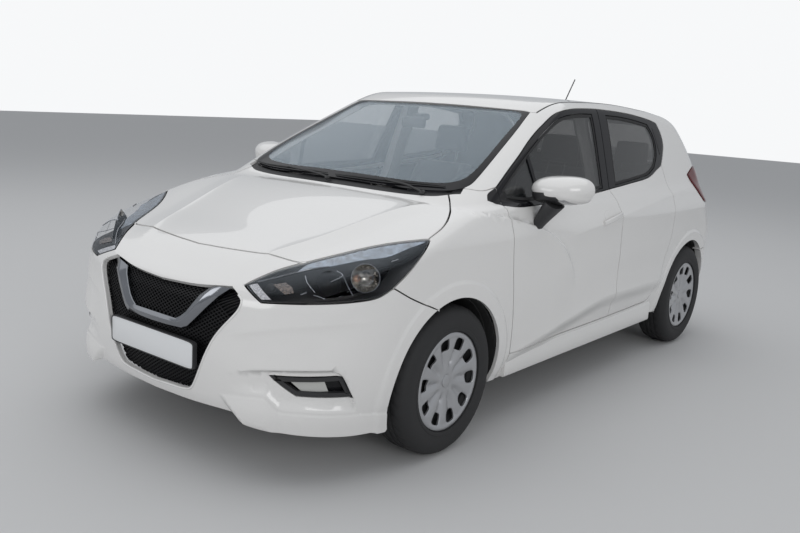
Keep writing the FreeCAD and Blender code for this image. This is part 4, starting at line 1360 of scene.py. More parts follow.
clear_plastic = finish("clear plastic", "lamp_glass", (0.34, 0.34, 0.35), 0.12, 200, 0.0003, (0.08, 0.2),
    Coat_Weight=1.0)
each_side("mirror_indicator", [mirror_belt(-58, -30, 1.8, 0.12, 0.60)], clear_plastic)
each_side("mirror_under", [mirror_belt(-178, -52, 1.4, 0.03, 0.98)], black_plastic)
print("mirrors made")

# %% Door handles
HANDLE_FRONT, HANDLE_REAR = (2004, 866), (2226, 896)


def handle_place(f, lift):
    """A point over the door skin, at a share of the handle's length."""
    s = HANDLE_FRONT[0] + (HANDLE_REAR[0] - HANDLE_FRONT[0]) * f
    z = HANDLE_FRONT[1] + (HANDLE_REAR[1] - HANDLE_FRONT[1]) * f
    p, n = meet(SIDE, np.array([[s, z]]))
    return p[0] + n[0] * lift, n[0]


pull = []
for f in np.linspace(0, 1, 30):
    lift = -3 + 24 * np.sin(np.pi * np.clip(0.5 + (f - 0.5) * 0.985, 0, 1)) ** 0.35
    thick = 0.72 + 0.28 * np.sin(np.pi * np.clip(f, 0.02, 0.98)) ** 0.5
    place, out = handle_place(f, lift)
    section = rounded_section(15 * thick, 8 * thick, 2.6, 24)
    pull.append(place + np.outer(section[:, 0], (0, -0.13, 0.99)) + np.outer(section[:, 1], out))
each_side("door_handle", [loft(pull)], white_paint)
dish_edge = rounded_section(66, 34, 2, 36) + [2098, 892]
dish_loop = outline(AROUND, meet(SIDE, dish_edge)[0])


def dish(x, s, z):
    """A shallow bowl pressed into the door behind the handle."""
    r = np.hypot((s - 2098) / 66.0, (z - 892) / 34.0)
    return body(x, s, z) + 9 * (1 - np.clip(r, 0, 1) ** 2) - 1.2


dish_skin = panel_parts(AROUND, dish_loop, depth=1.0, spacing=8, gap=0.5, edge=3, surface=dish)
each_side("handle_dish", dish_skin, white_paint)
lock_ring = tube_ring(handle_place(1.06, 1.5)[0], handle_place(1.06, 0)[1], 9, 3)
each_side("door_lock", [lock_ring], white_paint, angle=40)

# %% [markdown]
# Gloss black pieces join the side windows into one dark band: a small triangle ahead of the front
# door, the post between the quarter glass and the door glass, and the patch round the hidden rear
# handle.

# %% Dark window band
sail_loop = outline(AROUND, seam(SIDE, [(1122, 1012), (1140, 1034), (1200, 1061)],
    [(1200, 1061), (1202, 1030), (1198, 990)], [(1198, 990), (1160, 998), (1122, 1012)]))
dress("sail_panels", both(panel_parts(AROUND, sail_loop, depth=5, sunk=-1.2, gap=0, spacing=10)),
    black_gloss)
post = polygon(SIDE, (1517, 1000), (1538, 1000), (1512, 1196), (1488, 1184))
each_side("quarter_post", panel_parts(AROUND, post, depth=10, sunk=1, gap=0, spacing=12), black_gloss)
grip_edge = polygon(SIDE, (2962, 1330), (3030, 1318), (3060, 1240), (3000, 1180), (2985, 1250))
each_side("rear_grip", panel_parts(AROUND, grip_edge, depth=4, sunk=-1.5, gap=0, edge=4, spacing=12),
    black_plastic, "rear")
ditch, ditch_out = on_body(TOP, [(577, 1778), (577, 2500), (577, 3284)], 24)
ditch_profile = [(-4.5, -6), (-4.5, -0.5), (-3, 0.8), (3, 0.8), (4.5, -0.5), (4.5, -6)]
trim("roof_ditches", two_sides([sweep(ditch, ditch_out, ditch_profile)]), rubber, angle=40)

# %% [markdown]
# At the foot of the windscreen a grained cowl closes the gap behind the bonnet, and two wipers rest
# on the dark border of the glass. Each wiper is an arm, a hinge cover and a beam blade.

# %% Cowl and wipers
cowl_loop = whole(TOP, [bonnet_cowl[::-1], cowl_tip, screen_low])
dress("cowl_panel", panel_parts(TOP, cowl_loop, depth=26, sunk=12, gap=0.5, spacing=16), black_plastic,
    "cowl")
wiper_black = finish("wiper black", "black_plastic", (0.014, 0.014, 0.015), 0.5, 600, 0.00004, (0.42, 0.58))


def wiper(tip_run, pivot, joint_place):
    """A blade on the glass, and an arm from its pivot to the blade's middle."""
    line, out = on_body(TOP, tip_run, 14)
    count = len(line)
    taper = np.sin(np.pi * np.linspace(0.04, 0.96, count)) ** 0.4
    step = [(line[min(i + 1, count - 1)] - line[max(i - 1, 0)]) / 28.0 for i in range(count)]
    blade = [line[i] + out[i] * (h * taper[i] + 2) + np.cross(out[i], step[i]) * w
        for i in range(count) for h, w in ((0, -2), (5, -4), (9, 0), (6, 4), (0, 2))]
    blade = np.array(blade).reshape(count, 5, 3)
    middle = count // 2
    base, base_out = [found[0] for found in meet(TOP, np.array([pivot]))]
    knee, knee_out = [found[0] for found in meet(TOP, np.array([joint_place]))]
    top = line[middle] + out[middle] * 12
    arm = np.array([base + base_out * 6, base * 0.7 + knee * 0.3 + base_out * 10, knee + knee_out * 13,
        knee * 0.4 + top * 0.6 + knee_out * 5, top])
    flat_bar = sweep(through([arm], 12, closed=False), out[middle], sized(FLAT_BAR, 5, 2.5))
    boss = tube_ring(base + base_out * 4, base_out, 8, 7, 24)
    return [loft(list(blade)), flat_bar, boss]


wipers = wiper([(570, 1074), (300, 1030), (60, 1019), (-20, 1019)], (500, 1006), (400, 1022))
wipers += wiper([(-70, 1020), (-300, 1026), (-500, 1046), (-600, 1070)], (-40, 990), (-160, 1006))
trim("wipers", wipers, wiper_black, angle=35)

# %% [markdown]
# Behind the panels the shell goes on: posts between the doors, hinge posts, inner sills, a lining
# on the inner faces and a headliner. They give the open doors something to close on, and stop
# light from showing through.

# %% Posts and linings
cabin_grey = finish("cabin lining", "dash_plastic", (0.26, 0.25, 0.24), 0.85, 700, 0.0002, (0.78, 0.92))
headliner_grey = finish("headliner cloth", "dash_plastic", (0.48, 0.47, 0.45), 0.95, 900, 0.0003,
    (0.9, 0.98), Sheen_Weight=0.2)
trim_dark = finish("cabin dark trim", "dash_plastic", (0.030, 0.030, 0.032), 0.6, 800, 0.0001, (0.52, 0.7))
POST_ROWS = [
    (226, 788, 738, 702), (330, 768, 738, 700), (450, 786, 738, 715), (660, 794, 746, 725),
    (850, 790, 743, 725),
    (950, 750, 700, 680), (1150, 684, 640, 624), (1330, 620, 598, 560), (1400, 596, 580, 545),
    (1424, 588, 575, 542),
]
post_columns = columns(POST_ROWS)


def upright(heights, ring_at):
    """A post on each side, from its (across, station) ring at each height."""
    return two_sides([loft([np.array([(x, s, z) for x, s in ring_at(z)]) for z in heights])])


def post_ring(z):
    front, rear, inner = [read(z) for read in post_columns]
    return [(inner, 2218), (front - 8, 2217), (front, 2225), (front, 2248), (front - 6, 2256),
            (rear + 3, 2262), (rear, 2268), (rear, 2294), (rear - 8, 2302), (inner, 2302)]


def cover_ring(z):
    inner = post_columns[2](z)
    return [(inner - 14, 2226), (inner + 1, 2210), (inner + 1, 2310), (inner - 14, 2294)]


def hinge_ring(z):
    outer = 782 - 26 * ease((z - 820) / 160) - 10 * ease((330 - z) / 100)
    return [(690, 1190), (outer - 10, 1190), (outer, 1200), (outer, 1278), (outer - 10, 1290), (690, 1290)]


def beam(stations, profile):
    """A beam along each side, from its (across, height) profile."""
    return two_sides([loft([np.array([(x, s, z) for x, z in profile]) for s in stations])])


trim("door_posts", upright(np.linspace(228, 1422, 60), post_ring), white_paint)
trim("door_post_covers", upright(np.linspace(260, 1415, 40), cover_ring), cabin_grey)
trim("hinge_posts", upright(np.linspace(232, 985, 24), hinge_ring), white_paint)
sill_profile = [(700, 225), (824, 225), (828, 232), (828, 322), (820, 333), (790, 336), (700, 336)]
trim("inner_sills", beam(np.linspace(1262, 2860, 12), sill_profile), white_paint, angle=40)
scuff_profile = [(712, 336), (716, 340), (800, 340), (806, 336)]
trim("scuff_plates", beam(np.linspace(1300, 2800, 10), scuff_profile), trim_dark, angle=40)
lining = panel_parts(AROUND, offset_loop(side_loop, -4), depth=3, sunk=47, gap=0, spacing=30)
dress("side_linings", both(lining), cabin_grey)
liner_half = seam(TOP, [(0, 1760), (300, 1766), (520, 1790)], [(520, 1790), (560, 1850), (560, 3200),
    (500, 3280)], [(500, 3280), (300, 3290), (0, 3290)])
liner_loop = whole(TOP, [liner_half])
dress("headliner", panel_parts(TOP, liner_loop, depth=5, sunk=30, gap=0, spacing=40), headliner_grey)


def rounded_block(x0, x1, s0, s1, z0, z1, radius=12.0, lean=0.0, count=40):
    """A moulded box with rounded edges. Its top may lean back."""
    hx, hs = (x1 - x0) / 2, (s1 - s0) / 2
    radius = min(radius, hx * 0.95, hs * 0.95, (z1 - z0) * 0.48)
    rows = []
    for a in np.linspace(-90, 90, 12):
        inset = radius * (1 - math.cos(math.radians(a)))
        z = (z0 + radius if a < 0 else z1 - radius) + radius * math.sin(math.radians(a))
        square = rounded_section(hx - inset, hs - inset, 2 + 2 * min(hx, hs) / radius * 0.8, count)
        s = (s0 + s1) / 2 + square[:, 1] + lean * (z - z0)
        rows.append(np.stack([(x0 + x1) / 2 + square[:, 0], s, z + 0 * s], 1))
    return loft(rows)


def blocks(*rows):
    return [rounded_block(*row) for row in rows]


# %% [markdown]
# The dashboard is one long moulding, so its side profile is pushed across the car, and swells into
# a hood over the dials. Vents, a screen, dials and a console are set into it.

# %% Dashboard
DASH_PROFILE = [
    (1192, 640), (1192, 900), (1196, 945), (1230, 962), (1300, 972), (1370, 972), (1430, 962), (1476, 946),
    (1498, 928),
    (1508, 900), (1506, 868), (1490, 850), (1470, 836), (1462, 800), (1452, 740), (1430, 680), (1390, 650),
    (1320, 628),
]
dash_rows = []
for x in np.linspace(-672, 672, 61):
    hood = 20 * ease(1 - abs(x - 370) / 190)
    face = 10 * ease(1 - abs(x) / 160)
    row = []
    for s, z in DASH_PROFILE:
        lift = hood * ease((s - 1300) / 90) * ease((z - 900) / 50)
        ends = 26 * (x / 672) ** 4 * (s > 1400)
        fall = 12 * (x / 672) ** 2 * (z > 850)
        row.append((x, s + face * ease((s - 1440) / 50) - ends, z + lift - fall))
    dash_rows.append(np.array(row))
trim("dash_moulding", [loft(dash_rows)], dash_plastic, "dashboard")
vent_black = finish("vent black", "dash_plastic", (0.008, 0.008, 0.008), 0.5, 500, 0.00005, (0.4, 0.6))
vents = [tube_ring((x, 1500, 890), (0, -1, -0.1), r, 5) for x in (-590, 590) for r in (30, 16)]
vents += blocks(*[(x - 62, x + 62, 1488, 1516, 868, 912, 10) for x in (-75, 75)])
trim("dash_vents", vents, vent_black, angle=40)
screen_block = blocks((-96, 96, 1476, 1510, 756, 856, 8), (262, 478, 1420, 1462, 880, 968, 20))
trim("dash_screen", screen_block, black_gloss, angle=40)
dial_white = finish("dial face", "chrome_trim", (0.35, 0.36, 0.37), 0.4, 400, 0.00002, (0.35, 0.5))
dials = [tube_ring((x, 1464, 925), (0, 1, 0.15), r, t) for r, t in ((38, 2.2), (4, 3)) for x in (318, 422)]
trim("dial_rings", dials, dial_white, angle=40)
console = blocks((-112, 112, 1400, 2080, 262, 420, 26), (-104, 104, 1400, 1500, 400, 700, 24, -0.06),
    (-80, 80, 1900, 2090, 400, 500, 26))
trim("centre_console", console, trim_dark)
gaiter = []
for f in np.linspace(0, 1, 9):
    x, s = rounded_section(31.2 * (1 - 0.7 * f), 31.2 * (1 - 0.7 * f), 2, 24).T
    gaiter.append(np.stack([x, 1640 + 20 * f + s, 418 + 70 * f + 0 * x], 1))
knob = blocks((-22, 22, 1640, 1684, 520, 572, 20), (-6, 6, 1654, 1668, 470, 530, 5))
trim("gear_lever", [loft(gaiter)] + knob, trim_dark, angle=40)
trim("handbrake", blocks((-70, -42, 1760, 1980, 440, 470, 12, 0)), trim_dark, angle=40)
pedals = [(x - w, x + w, 1352, 1366, 330, 390, 6, 0.35) for x, w in ((290, 24), (370, 30), (452, 20))]
pedals += [(x - 6, x + 6, 1330, 1350, 380, 640, 4, -0.05) for x in (290, 370, 452)]
trim("pedals", blocks(*pedals), rubber, angle=40)

# %% [markdown]
# A seat is a cushion, a back and a head restraint in cloth. Each pad is a crowned form with raised
# side bolsters, and the sewn lines between its panels are pressed into it.

# %% Padded forms
def weave(material, pitch, depth):
    """Threads over and under, as two crossing waves that drive a fine bump."""
    tree = material.node_tree
    place = add_node(tree, "TexCoord")
    product = add_node(tree, "Math")
    product.operation = "MULTIPLY"
    for i, direction in enumerate(("X", "Z")):
        wave = add_node(tree, "TexWave", Scale=1000 / pitch / 20, Distortion=0.4)
        wave.bands_direction = direction
        wire(tree, (place, "Object", wave, "Vector"), (wave, "Fac", product, i))
    bump = add_node(tree, "Bump", Distance=depth)
    before = tree.nodes["Principled BSDF"].inputs["Normal"]
    tree.links.new(before.links[0].from_socket, bump.inputs["Normal"])
    wire(tree, (product, 0, bump, "Height"))
    tree.links.new(bump.outputs["Normal"], before)


weave(seat_cloth, 3.0, 0.0004)
seat_edge = finish("seat side cloth", "seat_fabric", (0.035, 0.035, 0.04), 0.9, 700, 0.0004, (0.85, 0.97),
    Sheen_Weight=0.3)
weave(seat_edge, 2.0, 0.0002)


def pad(origin, across, along, out, sizes, bolster=0.0, seams=(), cross_seams=(), taper=0.0,
    count=(72, 60)):
    """A stuffed form: half width, half length, front swell and back swell, with sewn lines pressed in."""
    half_w, half_l, front, back = sizes
    across, along, out = [np.array(v, float) / np.linalg.norm(v) for v in (across, along, out)]
    u, v = np.meshgrid(np.linspace(-1, 1, count[0]), np.linspace(-1, 1, count[1]), indexing="ij")
    crown = np.maximum(1 - u**10, 0) ** 0.42 * np.maximum(1 - v**10, 0) ** 0.42
    swell = front * crown * (0.86 + 0.14 * np.cos(u * 1.4) * np.cos(v * 1.4))
    swell += bolster * np.exp(-(((np.abs(u) - 0.80) / 0.16) ** 2)) * crown
    groove = np.zeros_like(u)
    for s in seams:
        groove = np.maximum(groove, np.exp(-(((u - s) * half_w / 6) ** 2)))
    for s in cross_seams:
        groove = np.maximum(groove, np.exp(-(((v - s) * half_l / 6) ** 2)))
    swell -= 9 * groove * crown
    width = half_w * (1 - taper * (v + 1) / 2) * (1 - 0.05 * v**8)
    long = half_l * (1 - 0.05 * u**8)
    flat = np.array(origin) + (u * width)[..., None] * across + (v * long)[..., None] * along
    top = flat + swell[..., None] * out
    under = top - ((swell + back * crown)[..., None] * out)
    n, m = count
    points = np.vstack([top.reshape(-1, 3), under.reshape(-1, 3)])
    faces = []
    for a in (i * m + j for i in range(n - 1) for j in range(m - 1)):
        corners = (a, a + m, a + m + 1, a + 1)
        faces += [list(corners), [v + n * m for v in corners[::-1]]]
    return points, faces


def soft(name, sheets, material, node=None):
    """A padded piece: its two sheets are welded along their edge."""
    thing = trim(name, [sheets], material, node, angle=80)
    weld = thing.modifiers.new("weld", "WELD")
    weld.merge_threshold = 0.0004
    with bpy.context.temp_override(object=thing, active_object=thing, selected_objects=[thing]):
        bpy.context.view_layer.objects.active = thing
        bpy.ops.object.modifier_apply(modifier="weld")


LEAN, FACE = (0, 0.34, 1.0), (0, -1.0, 0.34)
HEAD_LEAN, HEAD_FACE = (0, 0.14, 1), (0, -1, 0.14)
RIGHTWARDS = (1, 0, 0)


def rods(middles, half_gap, places):
    """Two thin rods below each head restraint, through (station, height) places."""
    lines = [np.array([(x + dx, s, z) for s, z in places]) for x in middles for dx in (-half_gap, half_gap)]
    return [sweep(line, RIGHTWARDS, round_rod(5)) for line in lines]


for side, x in (("left", 370), ("right", -370)):
    base = pad((x, 1940, 452), RIGHTWARDS, (0, 1, -0.03), (0, 0.03, 1), (238, 232, 62, 110), 24,
        (-0.62, 0.62), (-0.25,))
    soft("seat_cushion_" + side, base, seat_cloth, "front_seats" if side == "left" else None)
    rest = pad((x, 2290, 770), RIGHTWARDS, LEAN, FACE, (242, 296, 44, 46), 26, (-0.60, 0.60), (0.42,), 0.14)
    soft("seat_back_" + side, rest, seat_cloth)
    head = pad((x, 2432, 1190), RIGHTWARDS, HEAD_LEAN, HEAD_FACE, (116, 78, 34, 36), taper=0.10,
        count=(40, 32))
    soft("head_restraint_" + side, head, seat_edge)
trim("head_restraint_rods", rods((-370, 370), 52, [(2392, 1046), (2408, 1090), (2426, 1140)]), chrome,
    angle=40)
frames = []
for x in (-370, 370):
    frames += blocks(
        (x - 205, x + 205, 1780, 2190, 300, 352, 20),
        (x - 238, x - 214, 1840, 2200, 300, 400, 10), (x + 214, x + 238, 1840, 2200, 300, 400, 10),
        (x - 198, x - 162, 1760, 2210, 238, 302, 6), (x + 162, x + 198, 1760, 2210, 238, 302, 6))
trim("seat_frames", frames, trim_dark, slot="black_plastic")
bench = pad((0, 2860, 478), RIGHTWARDS, (0, 1, -0.08), (0, 0.08, 1), (596, 228, 58, 90), 8, (-0.36, 0.36),
    (-0.3,), count=(120, 50))
soft("bench_cushion", bench, seat_cloth, "rear_bench")
bench_back = pad((0, 3176, 790), RIGHTWARDS, LEAN, FACE, (592, 262, 44, 40), 10, (-0.36, 0.36), (0.3,),
    0.05, (120, 50))
soft("bench_back", bench_back, seat_cloth)
for name, x, z in (("left", 400, 1160), ("middle", 0, 1142), ("right", -400, 1160)):
    head = pad((x, 3342, z), RIGHTWARDS, HEAD_LEAN, HEAD_FACE, (112, 72, 32, 32), taper=0.08,
        count=(40, 30))
    soft("bench_head_" + name, head, seat_edge)
trim("bench_head_rods", rods((-400, 0, 400), 46, [(3296, 1030), (3316, 1066), (3334, 1110)]), chrome,
    angle=40)

# %% Cabin details
pod = blocks((-130, 20, 1612, 1640, 1266, 1322, 16, 0.1), (-80, -30, 1650, 1740, 1306, 1340, 12))
trim("interior_mirror", pod, black_plastic)
front_rests = blocks((722, 782, 1500, 2060, 640, 700, 22), (752, 772, 1440, 1700, 842, 868, 8))
each_side("front_armrest", front_rests, trim_dark)
rear_rests = blocks((722, 782, 2380, 2760, 660, 716, 22), (752, 772, 2340, 2560, 862, 886, 8))
each_side("rear_armrest", rear_rests, trim_dark, "rear")
each_side("inner_handles", blocks((752, 762, 1560, 1650, 800, 824, 5)), chrome)
shelf = blocks((-520, 520, 3300, 3590, 940, 962, 9), (-200, 200, 3330, 3350, 960, 968, 3))
trim("parcel_shelf", shelf, cabin_grey)
carpet = finish("boot carpet", "dash_plastic", (0.03, 0.03, 0.032), 0.97, 900, 0.0012, (0.9, 1.0),
    tint=((0.02, 0.02, 0.022), (0.045, 0.045, 0.048)), Sheen_Weight=0.3)
boot = blocks((-500, 500, 3200, 3830, 386, 406, 8))
boot += blocks(*[(x - 36, x + 36, 3200, 3820, 400, 850, 22) for x in (-540, 540)])
trim("boot_trims", boot, carpet)

# %% Steering wheel
RAKE = math.radians(22)
wheel_middle = np.array([370.0, 1650.0, 905.0])
axis = np.array([0.0, math.cos(RAKE), math.sin(RAKE)])
wheel_up = np.array([0.0, -math.sin(RAKE), math.cos(RAKE)])
wheel_side = np.array([1.0, 0, 0])


def on_wheel(x, y, out):
    """A place on the steering wheel: across it, up it, and out of its face."""
    return wheel_middle + wheel_side * x + wheel_up * y + axis * out


rim_line = np.array([on_wheel(178 * math.cos(k), 176 * math.sin(k), 0) for k in turns(72)])
rim_out = np.array([on_wheel(math.cos(k), math.sin(k), 0) - wheel_middle for k in turns(72)])
rim_tube = sweep(rim_line, rim_out, round_rod(13.5, 18, 15.5), closed=True)
trim("wheel_rim", [rim_tube], trim_dark, "steering_wheel", on="steering_wheel", angle=60)
pad_rows = []
for f in np.linspace(0, 1, 12):
    size = max((1 - f ** 3.2) ** (1 / 2.4), 0.02)
    section = rounded_section(78 * size, 62 * size, 3.2, 40)
    pad_rows.append(np.array([on_wheel(u, v - 4, -24 + 42 * f) for u, v in section]))
trim("wheel_pad", [loft(pad_rows)], dash_plastic, on="steering_wheel", angle=60)
spokes = []
shares = np.linspace(0, 1, 10)
for u0, v0, u1, v1, w in (
    (62, 6, 170, 10, 17), (-62, 6, -170, 10, 17), (22, -48, 32, -172, 9), (-22, -48, -32, -172, 9),
):
    line = [on_wheel(u0 + (u1 - u0) * f, v0 + (v1 - v0) * f, -10 + 8 * f * f) for f in shares]
    spokes.append(sweep(line, axis, sized(FLAT_BAR, w, 7)))
trim("wheel_spokes", spokes, wheel_silver, on="steering_wheel", angle=35)
boss_rows = [np.array([on_wheel(u, v, d) for u, v in round_rod(r, 32)])
    for r, d in ((58, -22), (54, -34), (30, -44), (24, -92))]
trim("wheel_boss", [loft(boss_rows)], trim_dark, on="steering_wheel")
shroud = [np.array([on_wheel(u, v, d) for u, v in rounded_section(46 + 6 * f, 42 + 10 * f, 3, 28)])
    for f, d in ((0, -52), (0.2, -60), (0.6, -110), (1, -190))]
trim("column_shroud", [loft(shroud)], trim_dark, "steering_column")
stalks = [[on_wheel(sign * (40 + 150 * f), 8 + 14 * f, -64) for f in np.linspace(0, 1, 9)]
    for sign in (-1, 1)]
trim("column_stalks", [sweep(line, axis, round_rod(7)) for line in stalks], trim_dark)

# %% [markdown]
# A wheel is a steel rim under a moulded cover with ten openings near its edge and curved ribs that
# sweep out from the hub. The tyre carries a tread of grooved blocks, and its side walls are smooth
# with a raised rim band. Both are built once, about the wheel's own axle, and copied to each corner.

# %% Tyre
TYRE_RADIUS = 308.0


def spin(profile, count, relief=None):
    """A closed skin from a profile of (radius, distance out) points turned about the axle."""
    angles = turns(count)[:, None]
    radius, across = [column[None, :] + 0 * angles for column in np.array(profile, float).T]
    if relief is not None:
        radius = radius - relief(radius, across, angles)
    points = np.stack([across, radius * np.sin(angles), radius * np.cos(angles)], 2)
    return points.reshape(-1, 3), grid_faces(count, len(profile), closed=True)


def tread(radius, across, angle):
    """Depth of the tread's grooves: three rings round the tyre and slanted cuts between them."""
    on_tread = ease((radius - 303.5) / 2)
    rings = np.zeros_like(across + angle)
    for centre, width in ((727, 7), (755, 8), (783, 7)):
        rings = np.maximum(rings, ease((width / 2 + 1.5 - np.abs(across - centre)) / 2))
    slant = np.mod(angle * 36 / np.pi + (across - 755) * 0.045, 2) - 1
    cuts = ease((0.16 - np.abs(slant)) / 0.1) * (np.abs(across - 755) > 12)
    return on_tread * np.maximum(rings * 6.5, cuts * 4.0)


outer_wall = [
    (206.6, 834), (207, 843), (214, 845.5), (221, 846), (223, 844.6), (240, 847), (258, 847),
    (272, 845.5), (282, 841), (290, 836), (297, 829), (302, 820), (306, 812), (307.6, 804),
]
inner_wall = [(radius, 2 * 755 - across) for radius, across in outer_wall]
band = [(308, across) for across in np.arange(800, 709, -4.0)]
hollow = [(200, 700), (240, 690), (290, 700), (299, 720), (299, 790), (290, 810), (240, 820), (200, 810)]
tyre_profile = outer_wall + band + inner_wall[::-1] + [(191.5, 676), (191.5, 690)] + hollow
tyre_profile += [(191.5, 820), (191.5, 834)]


# %% Wheel cover
WINDOWS = 10


def cover_turn(radius, angle):
    """Place between two petals of the cover, from -0.5 to 0.5, with the petals swept back a little."""
    return np.mod(angle / (2 * np.pi) * WINDOWS - (radius / 190.0) ** 2 * 0.16 + 0.5, 1) - 0.5


def cover_surface(radius, angle):
    """How far out the cover stands at each radius and angle, in millimetres from the car's middle."""
    dish = 824 + 11 * ease((radius - 30) / 150) + 3.5 * ease((radius - 178) / 12) - 3 * ease(
        (radius - 196) / 9)
    turn = np.abs(cover_turn(radius, angle))
    fade = ease((radius - 44) / 40) * ease((184 - radius) / 18)
    crown = -9.0 * ease((turn - 0.10) / 0.4) * fade
    crease = -2.4 * np.exp(-((turn - 0.5) / 0.055) ** 2) * ease((radius - 40) / 14) * ease(
        (136 - radius) / 20)
    return dish + crown + crease


def window_loop(k):
    """A rounded window between two petals, 50 mm square, as points on the flat cover."""
    middle = (k + 0.5) / WINDOWS * 2 * np.pi + 0.10
    corners = rounded_section(26.0, 25.0, 4.2, 40)
    r = 157 + corners[:, 1]
    a = middle + corners[:, 0] * (1 + 0.004 * corners[:, 1]) / r
    return np.stack([r * np.sin(a), r * np.cos(a)], 1)


def wheel_cover():
    """A dished disc with windows, as a front sheet, a back sheet and the walls between them."""
    a = turns(160)
    circle = np.stack([204.5 * np.sin(a), 204.5 * np.cos(a)], 1)
    hub = np.stack([26 * np.sin(a[::4]), 26 * np.cos(a[::4])], 1)
    flat, faces, rims = fill(circle, [window_loop(k) for k in range(WINDOWS)] + [hub], 7.0, 2.2)
    r = np.hypot(flat[:, 0], flat[:, 1])
    out = cover_surface(r, np.arctan2(flat[:, 0], flat[:, 1]))
    front = np.stack([out, flat[:, 0], flat[:, 1]], 1)
    for rim in rims:
        front[rim, 0] -= 1.0
    back = front - np.array([7.0, 0, 0])
    n = len(flat)
    a, b, c = front[faces[0]]
    if np.cross(b - a, c - a)[0] < 0:
        faces = faces[:, ::-1]
    skin = faces.tolist() + (faces[:, ::-1] + n).tolist()
    for rim in rims:
        for i, j in zip(rim, rim[1:] + rim[:1]):
            skin.append([i, i + n, j + n, j])
    return np.vstack([front, back]), skin


cap_profile = [(0.01, 829), (10, 829), (22, 828.4), (27, 826.5), (28, 823), (26, 820), (0.01, 820)]
rim_profile = [
    (36, 800), (60, 803), (120, 806), (176, 806), (184, 812), (190, 824), (197, 833), (205, 837),
    (206.5, 834.2),
    (196, 826), (191, 818), (190, 800), (189.5, 700), (191, 690), (196, 680), (206, 674), (206, 668),
    (192, 668),
    (184, 680), (182, 700), (182, 796), (174, 800), (120, 798), (60, 796), (60, 745), (36, 745),
]
wheel_black = finish("wheel shade", "steel", (0.012, 0.012, 0.013), 0.6, 200, 0.0001, (0.5, 0.7), 0.3)
tyre_parts = spin(tyre_profile, 288, tread)
rim_parts = spin(rim_profile, 96)
cap_parts = spin(cap_profile, 64)
cover_parts = wheel_cover()


def turned(name, parts, material, angle):
    """A turned piece as its own object about the X axis, still at the origin."""
    return add_mesh(name, parts[0] / 1000, parts[1], material, None, angle)


for corner, station, sign in (
    ("front_left", 818, 1), ("front_right", 818, -1), ("rear_left", 3343, 1), ("rear_right", 3343, -1),
):
    axle = Vector((0, (station - LENGTH / 2) / 1000, TYRE_RADIUS / 1000))
    tyre = turned("tyre_" + corner + "_tread", tyre_parts, rubber, 35)
    steel_rim = turned("rim_" + corner, rim_parts, wheel_black, 35)
    cover = turned("wheel_cover_" + corner, cover_parts, wheel_silver, 50)
    cap = turned("hub_cap_" + corner, cap_parts, wheel_silver, 35)
    for thing in (tyre, steel_rim, cover, cap):
        if sign < 0:
            thing.rotation_euler = (0, 0, math.pi)
        thing.location = axle
        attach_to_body(thing, "road_wheel_" + corner)
    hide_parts("tyre_" + corner)
    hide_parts("wheel_" + corner)
print("wheels dressed")

# %% [markdown]
# Last come the pieces that only open panels and other views show: the engine bay, the inner faces
# of the bonnet and the tailgate, the arch linings, the back of the car, and the plates.

# %% Arch linings
liners = []
for s0, z0, r, low, high in ((818, 308, 350, -12, 198), (3334, 306, 357, -14, 194)):
    rows = []
    swing = np.radians(np.linspace(low, high, 61))
    beyond = np.stack([s0 + (r + 6) * np.cos(swing), np.maximum(z0 + (r + 6) * np.sin(swing), 262)], 1)
    for angle, skin_x in zip(swing, meet(SIDE, beyond)[0][:, 0]):
        ripple = 2.0 * math.cos(angle * 12)
        rim_x = min(skin_x - 14, 832)
        rows.append(np.array([(x, s0 + q * math.cos(angle), z0 + q * math.sin(angle)) for x, q in (
            (560, r + ripple), (690, r + ripple), (rim_x, r), (rim_x + 2, r + 4), (690, r + 5),
            (560, r + 5))]))
    liners.append(loft(rows))
trim("arch_linings", two_sides(liners), underbody)

# %% Engine bay
bay_black = finish("moulded cover", "black_plastic", (0.022, 0.022, 0.023), 0.5, 500, 0.0002, (0.42, 0.6))
cover_rows = []
for f in np.linspace(0, 1, 25):
    s = 452 + 420 * f
    edge = ease(f / 0.08) * ease((1 - f) / 0.08)
    section = rounded_section(232, 1, 3, 60)
    x = section[:, 0]
    wave = 5 * np.cos(x / 26.0) * (np.abs(x) < 170) * (0.2 < f < 0.8)
    z = np.where(section[:, 1] >= 0, 784 + 24 * edge + wave * edge, 778)
    cover_rows.append(np.stack([x, s + 0 * x, z], 1))
trim("engine_cover", [loft(cover_rows)], bay_black)
front_frame = blocks((-470, 470, 172, 222, 690, 726, 12), (-330, 330, 178, 206, 330, 690, 8))
front_frame += blocks(*[(x - 22, x + 22, 222, 300, 696, 720, 8) for x in (-300, 300)])
trim("radiator_frame", front_frame, bay_black)
core = blocks(*[(-320, 320, 210, 216, z, z + 7, 2, 0, 16) for z in np.arange(340, 680, 14.0)])
trim("radiator_core", core, steel)
inner_wings = []
for sign in (-1, 1):
    rows = []
    for s in np.linspace(300, 960, 20):
        low, high = 0.12 * (s - 300), 0.14 * (s - 300)
        wing = [(470, 560), (500, 640 + low), (590, 700 + high), (594, 696 + high), (506, 632 + low),
            (476, 560)]
        rows.append(np.array([(sign * x, s, z) for x, z in wing]))
    inner_wings.append(loft(rows))
    for z, radius, thick, count in ((800, 62, 9, 40), (806, 22, 10, 30)):
        inner_wings.append(tube_ring((sign * 545, 860, z), (0, 0, 1), radius, thick, count, 12))
trim("inner_wings", inner_wings, white_paint)
boxes = blocks((350, 480, 470, 720, 640, 790, 12), (380, 400, 500, 520, 788, 804, 6),
    (430, 450, 500, 520, 788, 804, 6), (-470, -340, 440, 600, 640, 770, 30),
    (-460, -350, 640, 860, 660, 780, 24), (330, 470, 780, 900, 640, 800, 30))
trim("bay_boxes", boxes, bay_black)


def rod(places, radius, count, spacing):
    """A round rod or hose through places in space."""
    return sweep(through([places], spacing, closed=False), (0, 0, 1), round_rod(radius, count))


